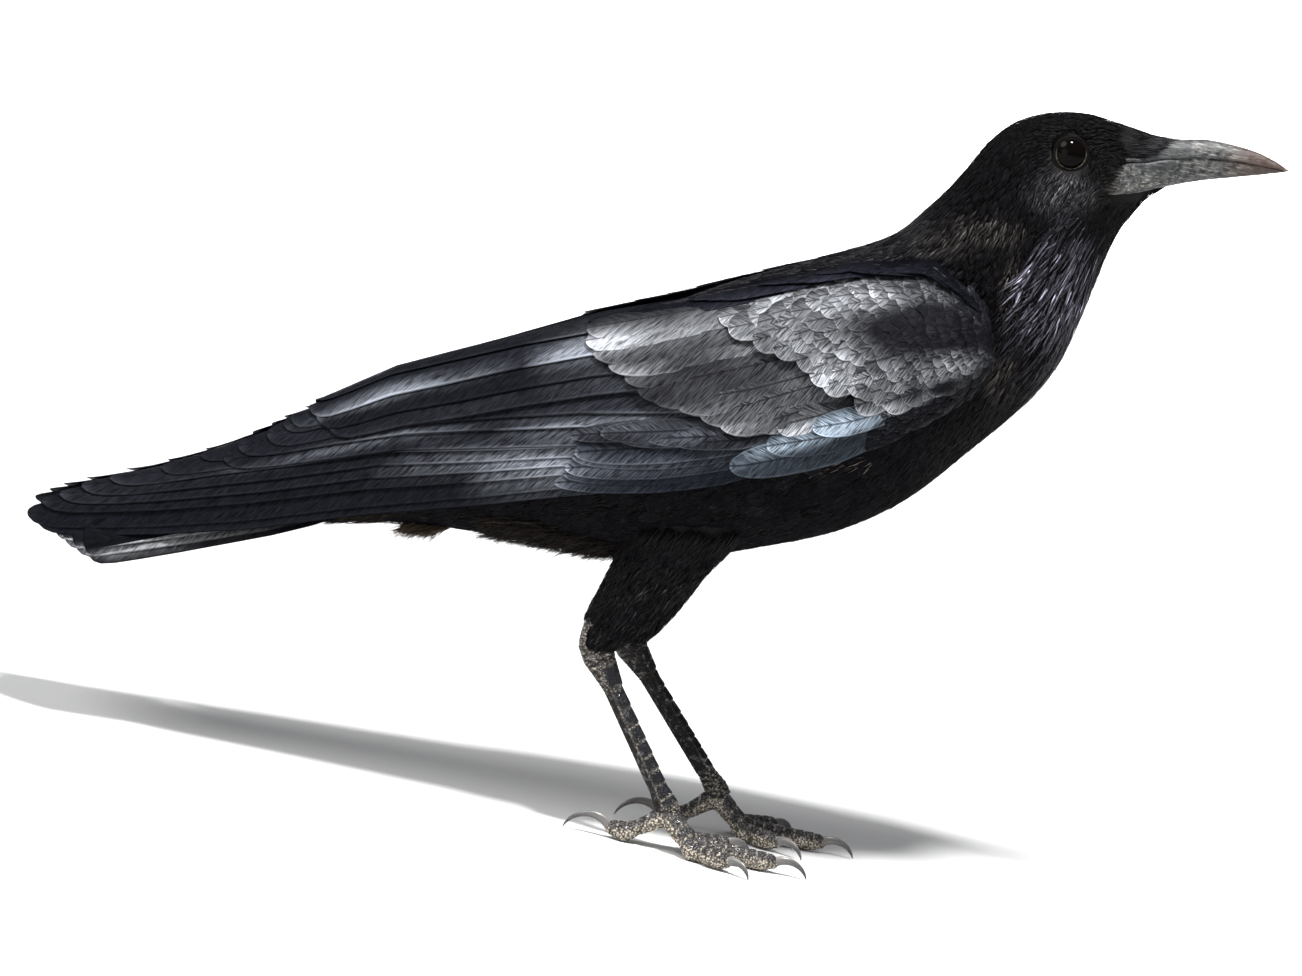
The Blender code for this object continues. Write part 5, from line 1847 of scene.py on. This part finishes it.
def shank(leg, word):
    """Large plates down the front, a sheath on each side, and crinkled skin at both ends."""
    heel, joint = np.array(leg["heel"], float), np.array(leg["joint"], float)
    length = np.linalg.norm(joint - heel)
    down = (joint - heel) / length
    front = np.array((-down[2], 0, down[0]))
    rows = list(SHANK_ROWS) + [(length + back, d, w) for back, d, w in SHANK_END]
    stops, depths, widths = np.array(rows).T
    along = np.arange(-4.0, length + 2.5, 0.4)[:, None]
    angle = np.linspace(0, 2 * math.pi, 41)[None, :-1]
    depth, width = np.interp(along, stops, depths), np.interp(along, stops, widths)
    depth, width = (k + 0 * angle for k in (depth, width))
    first, last = 5.0, length - ANKLE[word]
    facing = angle - SHANK_TURN[word]
    share = np.clip((along - first) / (last - first), 0, None)
    count = share**1.35 * SHANK_PLATES + 0.12 * np.cos(facing)
    ahead = smooth((np.cos(facing) - 0.1) / 0.2)
    within = smooth((along - mix(15.0, first, ahead)) / 3) * smooth((last + 4 - along) / 2)
    face = smooth((np.cos(facing) - 0.25) / 0.25) * within
    height, bare_skin = plate_relief(count, face)
    border = np.exp(-(((np.cos(facing) - 0.33) / 0.09) ** 2)) * within
    crinkle = np.sin(along * 4.1 + 2 * np.sin(angle * 3)) * np.sin(angle * 7 + along * 1.3)
    crinkle = 0.22 * (1 - within) * crinkle
    ridge = 0.35 * np.exp(-(((angle - math.pi) / 0.35) ** 2)) * within
    raised = height + crinkle + ridge - 0.2 * border
    ring = swept(
        heel + down * along[..., None],
        (front, (depth + raised) * np.cos(angle)),
        (np.array((0, 1.0, 0)), (width + raised) * np.sin(angle)),
    )
    groove = np.clip(bare_skin * face, 0, 1)
    tone = mix(SHEATH_BROWN, HORN_BLUE, face[..., None])
    tone = mix(tone, SCALE_PALE, (np.clip(groove + 0.8 * border, 0, 1) * 0.8)[..., None])
    tone = mix(tone, SCALE_PALE * 0.8, ((1 - within) * (0.45 + 0.45 * np.sign(crinkle)))[..., None])
    # Painted shade on the far leg, which ends just above its ankle
    tone = tone * mix(LEG_PAINTED_SHADE[word], 1.0, smooth((along - length + ANKLE[word] + 5) / 5))[..., None]
    return painted_tube(f"shank_scales_{word}", on_ground(ring), tone)


def heel(sheet, word):
    """Bare crinkled skin at the thigh's end, which shows behind the heel."""
    u, v = np.meshgrid(np.linspace(0.48, 1.0, 105), np.arange(48) / 48, indexing="ij")
    crinkle = np.sin(u * 190 + 2 * np.sin(v * 19)) * np.sin(v * 44 + u * 30)
    tones = mix(SCALE_PALE * 0.2, SCALE_PALE * 0.9, smooth(0.5 + 0.8 * crinkle)[..., None])
    depth = mix(1.6, 0.85, smooth((u - 0.48) / 0.1))
    rings = stand(sheet.at(u, v, 0.25 * crinkle - depth))
    # The far heel carries the same painted shade
    return painted_tube(f"heel_skin_{word}", rings, tones * LEG_PAINTED_SHADE[word])


def toe_line(leg, angle):
    """The toe's start on the ground and its direction over it."""
    turn = math.radians(leg["turn"] + angle) * -leg["side"]
    ahead = np.array((math.cos(turn), math.sin(turn), 0))
    return np.array((*leg["joint"][:2], 0)), ahead, np.array((-ahead[1], ahead[0], 0))


def toe(leg, word, name, turn, length, plates, pads):
    """Small plates on top and knobbly pads below, flat where the toe rests on the ground."""
    start, ahead, across = toe_line(leg, turn)
    along = np.arange(-1.5, length + 0.9, 0.36)[:, None]
    angle = np.linspace(0, 2 * math.pi, 27)[None, :-1]
    s = np.clip(along / length, 0, 1)
    blunt = np.sqrt(np.clip((length + 1.2 - along) / 3.0, 0.05, 1))
    tall, wide = (mix(a, b, s) * blunt + 0 * angle for a, b in zip(TOE_ROOT, TOE_END))
    up, low = np.cos(angle), -np.cos(angle)
    face = smooth((up - 0.1) / 0.3) + 0 * s
    height, bare_skin = plate_relief(s * plates, face)
    bulge = np.abs(np.sin(math.pi * (s * pads + 0.15))) ** 0.8 - 0.55
    pad = smooth((low + 0.35) / 0.5) * (0.95 * bulge)
    warts = 0.22 * np.sin(along * 5.3 + 3 * np.sin(angle * 2)) * np.sin(angle * 9 + along) * (1 - face)
    raised = height + pad + 0.5 * bulge * np.abs(np.sin(angle)) + warts
    level = mix(leg["joint"][2] - 2.5, TOE_REST, smooth(along / TOE_DROP))
    ring = swept(
        start, (ahead, along), (UP, level + (tall + raised) * up),
        (across, (wide + raised) * np.sin(angle)),
    )
    ring[..., 2] = np.maximum(ring[..., 2], 0.0)
    tone = mix(PAD_PALE, HORN_BLUE * 2.2, (face * (1 - bare_skin) * 0.85)[..., None])
    tone = mix(tone, SCALE_PALE, (face * bare_skin)[..., None])
    # Darker in the hollows between the pads underneath
    darker_between_pads = 0.5 * np.clip(-bulge, 0, 1) * (1 - face)
    tone = tone * (1 + 2.2 * np.clip(warts, 0, 1) - darker_between_pads)[..., None]
    return painted_tube(f"toe_{name}_{word}", on_ground(ring), tone)


def leg_finish():
    """Horn plates and pebbled skin: the carried colour, pale dust in patches, and darker in the hollows
    between pebbles.
    """
    material, tree, shader = new_material("leg_scales")
    place = object_place(tree)
    pebble = tree.nodes.new("ShaderNodeTexVoronoi")
    pebble.inputs["Scale"].default_value = 1150.0
    tree.links.new(place, pebble.inputs["Vector"])
    cells = pebble.outputs["Distance"]
    dust = noise(tree, place, 420.0, 5, 0.65)
    own = attribute(tree, "tone", "Color")
    bright = blend_colour(tree, 1.0, own, (3.0, 2.9, 2.7), "MULTIPLY")
    dusty = blend_colour(tree, ramp(tree, dust, 0.54, 0.70, 0.0, 0.4), own, bright)
    hollow = ramp(tree, cells, 0.22, 0.62, 0.0, 0.88)
    rough, level = ramp(tree, dust, 0.46, 0.60, 0.5, 0.16), ramp(tree, dust, 0.52, 0.64, 0.12, 0.9)
    dress(tree, shader, blend_colour(tree, hollow, dusty, (0.010, 0.009, 0.009)), rough, level)
    bump(tree, shader, math_node(tree, "MULTIPLY_ADD", cells, -1.0, dust), 0.8, 0.0005)
    return material


leg_material = leg_finish()
for word, leg in LEGS.items():
    fit_out(shank(leg, word), leg_material, [f"shank_{word}"])
    fit_out(heel(thighs[word], word), leg_material, [])
    for name, turn, length, _, _, plates, pads in TOES:
        fit_out(toe(leg, word, name, turn, length, plates, pads), leg_material, [f"foot_{word}"])
print("legs: 2 shanks, 2 heels, 8 toes")

# %% [markdown]
# ## Claws
#
# Each claw is a hooked horn that tapers along an arc, sharp along its back. Its colour runs
# from grey at the toe to nearly black, and is paler along its back. A bent cone would be
# too even, so rings that narrow faster and faster are set along the arc.

# %% Claws
# Height of its root over the ground, and half its own height and width there
CLAW_ROOT = (4.1, 1.95, 1.4)
CLAW_CLEAR = 0.4
CLAW_OVERLAP = 0.6
CLAW_GREY = np.array((0.13, 0.125, 0.118))
CLAW_BLACK = np.array((0.030, 0.029, 0.031))
CLAW_RIDGE = np.array((0.07, 0.069, 0.068))


def claw(leg, word, name, turn, toe_length, chord, curve):
    """A horn hook along an arc, from the toe's end down to just above the ground."""
    start, ahead, across = toe_line(leg, turn)
    height, tall, wide = CLAW_ROOT
    root = start + ahead * (toe_length - CLAW_OVERLAP) + (0, 0, height)
    half = math.radians(curve) / 2
    middle = -math.asin((height - CLAW_CLEAR) / chord)
    radius = (chord + CLAW_OVERLAP) / (2 * math.sin(half))
    s = np.linspace(0, 1, 41)[:, None]
    angle = np.linspace(0, 2 * math.pi, 21)[None, :-1]
    a = middle + half * (1 - 2 * s)
    forward = radius * (math.sin(middle + half) - np.sin(a))
    rise = radius * (np.cos(a) - math.cos(middle + half))
    up = np.stack((-np.sin(a) * ahead[0], -np.sin(a) * ahead[1], np.cos(a)), -1)
    share = (1 - s) ** 0.72 * 0.96 + 0.04
    keel = 1 + 0.12 * np.cos(angle) ** 3
    ring = swept(
        root, (ahead, forward), (UP, rise), (up, tall * share * np.cos(angle) * keel),
        (across, wide * share * np.sin(angle)),
    )
    ring[..., 2] = np.maximum(ring[..., 2], 0.1)
    tone = mix(CLAW_GREY, CLAW_BLACK, smooth(s * 1.2)[..., None])
    tone = tone + CLAW_RIDGE * (np.clip(np.cos(angle), 0, 1) ** 3)[..., None]
    return painted_tube(f"claw_horn_{name}_{word}", on_ground(ring), tone)


def claw_finish():
    material, tree, shader = new_material("claw_horn")
    grain = noise(tree, object_place(tree), 800.0, 4, 0.6)
    own = attribute(tree, "tone", "Color")
    colour = blend_colour(tree, ramp(tree, grain, 0.4, 0.7, 0.0, 0.5), own, (0.12, 0.11, 0.10))
    dress(tree, shader, colour, 0.28, 0.5)
    bump(tree, shader, grain, 0.15, 0.0002)
    return material


claw_material = claw_finish()
for word, leg in LEGS.items():
    for name, turn, length, chord, curve, _, _ in TOES:
        horn_piece = claw(leg, word, name, turn, length, chord, curve)
        fit_out(horn_piece, claw_material, [f"claw_{name}_{word}"])
print("claws: 8")

# %% [markdown]
# ## Floor, light and camera
#
# The bird stands on a pale level floor in soft studio light, the brightest of it from above.
# The camera looks nine degrees down on it from its right side. It is rolled by twelve
# degrees, the slope of the ground that the photograph was taken on.

# %% Floor
FLOOR_RADIUS = 6.0
bm = bmesh.new()
bmesh.ops.create_circle(bm, cap_ends=True, radius=FLOOR_RADIUS, segments=96)
floor_mesh = bpy.data.meshes.new("studio_floor")
bm.to_mesh(floor_mesh)
bm.free()
floor = new_object("studio_floor", floor_mesh)
floor_material, tree, shader = new_material("pale_floor")
speckle = noise(tree, object_place(tree), 12.0, 2)
pale_floor = blend_colour(tree, speckle, (0.66, 0.66, 0.655), (0.68, 0.68, 0.675))
dress(tree, shader, pale_floor, 0.9, 0.5)
floor.data.materials.append(floor_material)
print("floor radius in metres:", FLOOR_RADIUS)

# %% Light
world = bpy.data.worlds.new("studio")
world.use_nodes = True
sky = world.node_tree.nodes["Background"].inputs
sky["Color"].default_value = (0.93, 0.95, 1.0, 1.0)
sky["Strength"].default_value = 0.22
bpy.context.scene.world = world


def soft_light(name, place, aim, size, power):
    light = bpy.data.lights.new(name, "AREA")
    light.shape = "DISK"
    light.size = size
    light.energy = power
    obj = new_object(name, light)
    obj.location = place
    obj.rotation_euler = (Vector(place) - Vector(aim)).to_track_quat("Z", "Y").to_euler()
    return obj


soft_light("key", (0.2, -0.8, 2.4), (0, 0, 0.15), 0.3, 115)
soft_light("side", (-1.2, -0.9, 1.7), (0, 0, 0.15), 1.2, 34)
soft_light("low", (-0.8, -1.7, 0.45), (-0.1, 0, 0.12), 1.2, 7)
soft_light("back", (0.2, 1.6, 1.4), (0, 0, 0.15), 1.0, 1.5)
floor_wash = soft_light("floor_wash", (0, 3.4, 3.0), (0, 3.6, 0), 4.0, 330)
floor_wash.data.spread = math.radians(75)
bpy.context.scene.view_settings.view_transform = "Standard"
print("lights: 5")

# %% Camera
PIXEL = 0.373 * MM
ROLL = math.radians(12.0)
RISE = math.radians(9.0)
DISTANCE = 3.0
IMAGE_WIDTH = 1302
SENSOR = 36
# The picture's centre, seen from the point on the ground below the bird
CENTRE_FROM_FOOT = ((651 - 690) * PIXEL, (845 - 488) * PIXEL)


def add_camera():
    u, v = CENTRE_FROM_FOOT
    c, s = math.cos(ROLL), math.sin(ROLL)
    x = u * c - v * s
    z = (u * s + v * c) / math.cos(RISE) - 0.3 * MM
    target = Vector((x + CENTRING[0] * MM, 0, z))
    back = Vector((0, -math.cos(RISE), math.sin(RISE)))
    level_up = Vector((0, math.sin(RISE), math.cos(RISE)))
    right = Vector((1, 0, 0)) * c + level_up * s
    up = level_up * c - Vector((1, 0, 0)) * s
    lens = bpy.data.cameras.new("camera")
    lens.sensor_width = SENSOR
    lens.lens = SENSOR * DISTANCE / (IMAGE_WIDTH * PIXEL)
    obj = new_object("camera", lens)
    turn = [[right[k], up[k], back[k]] for k in range(3)]
    obj.rotation_euler = Matrix(turn).to_euler()
    obj.location = target + back * DISTANCE
    bpy.context.scene.camera = obj
    print("camera:", [round(k, 3) for k in obj.location])


add_camera()
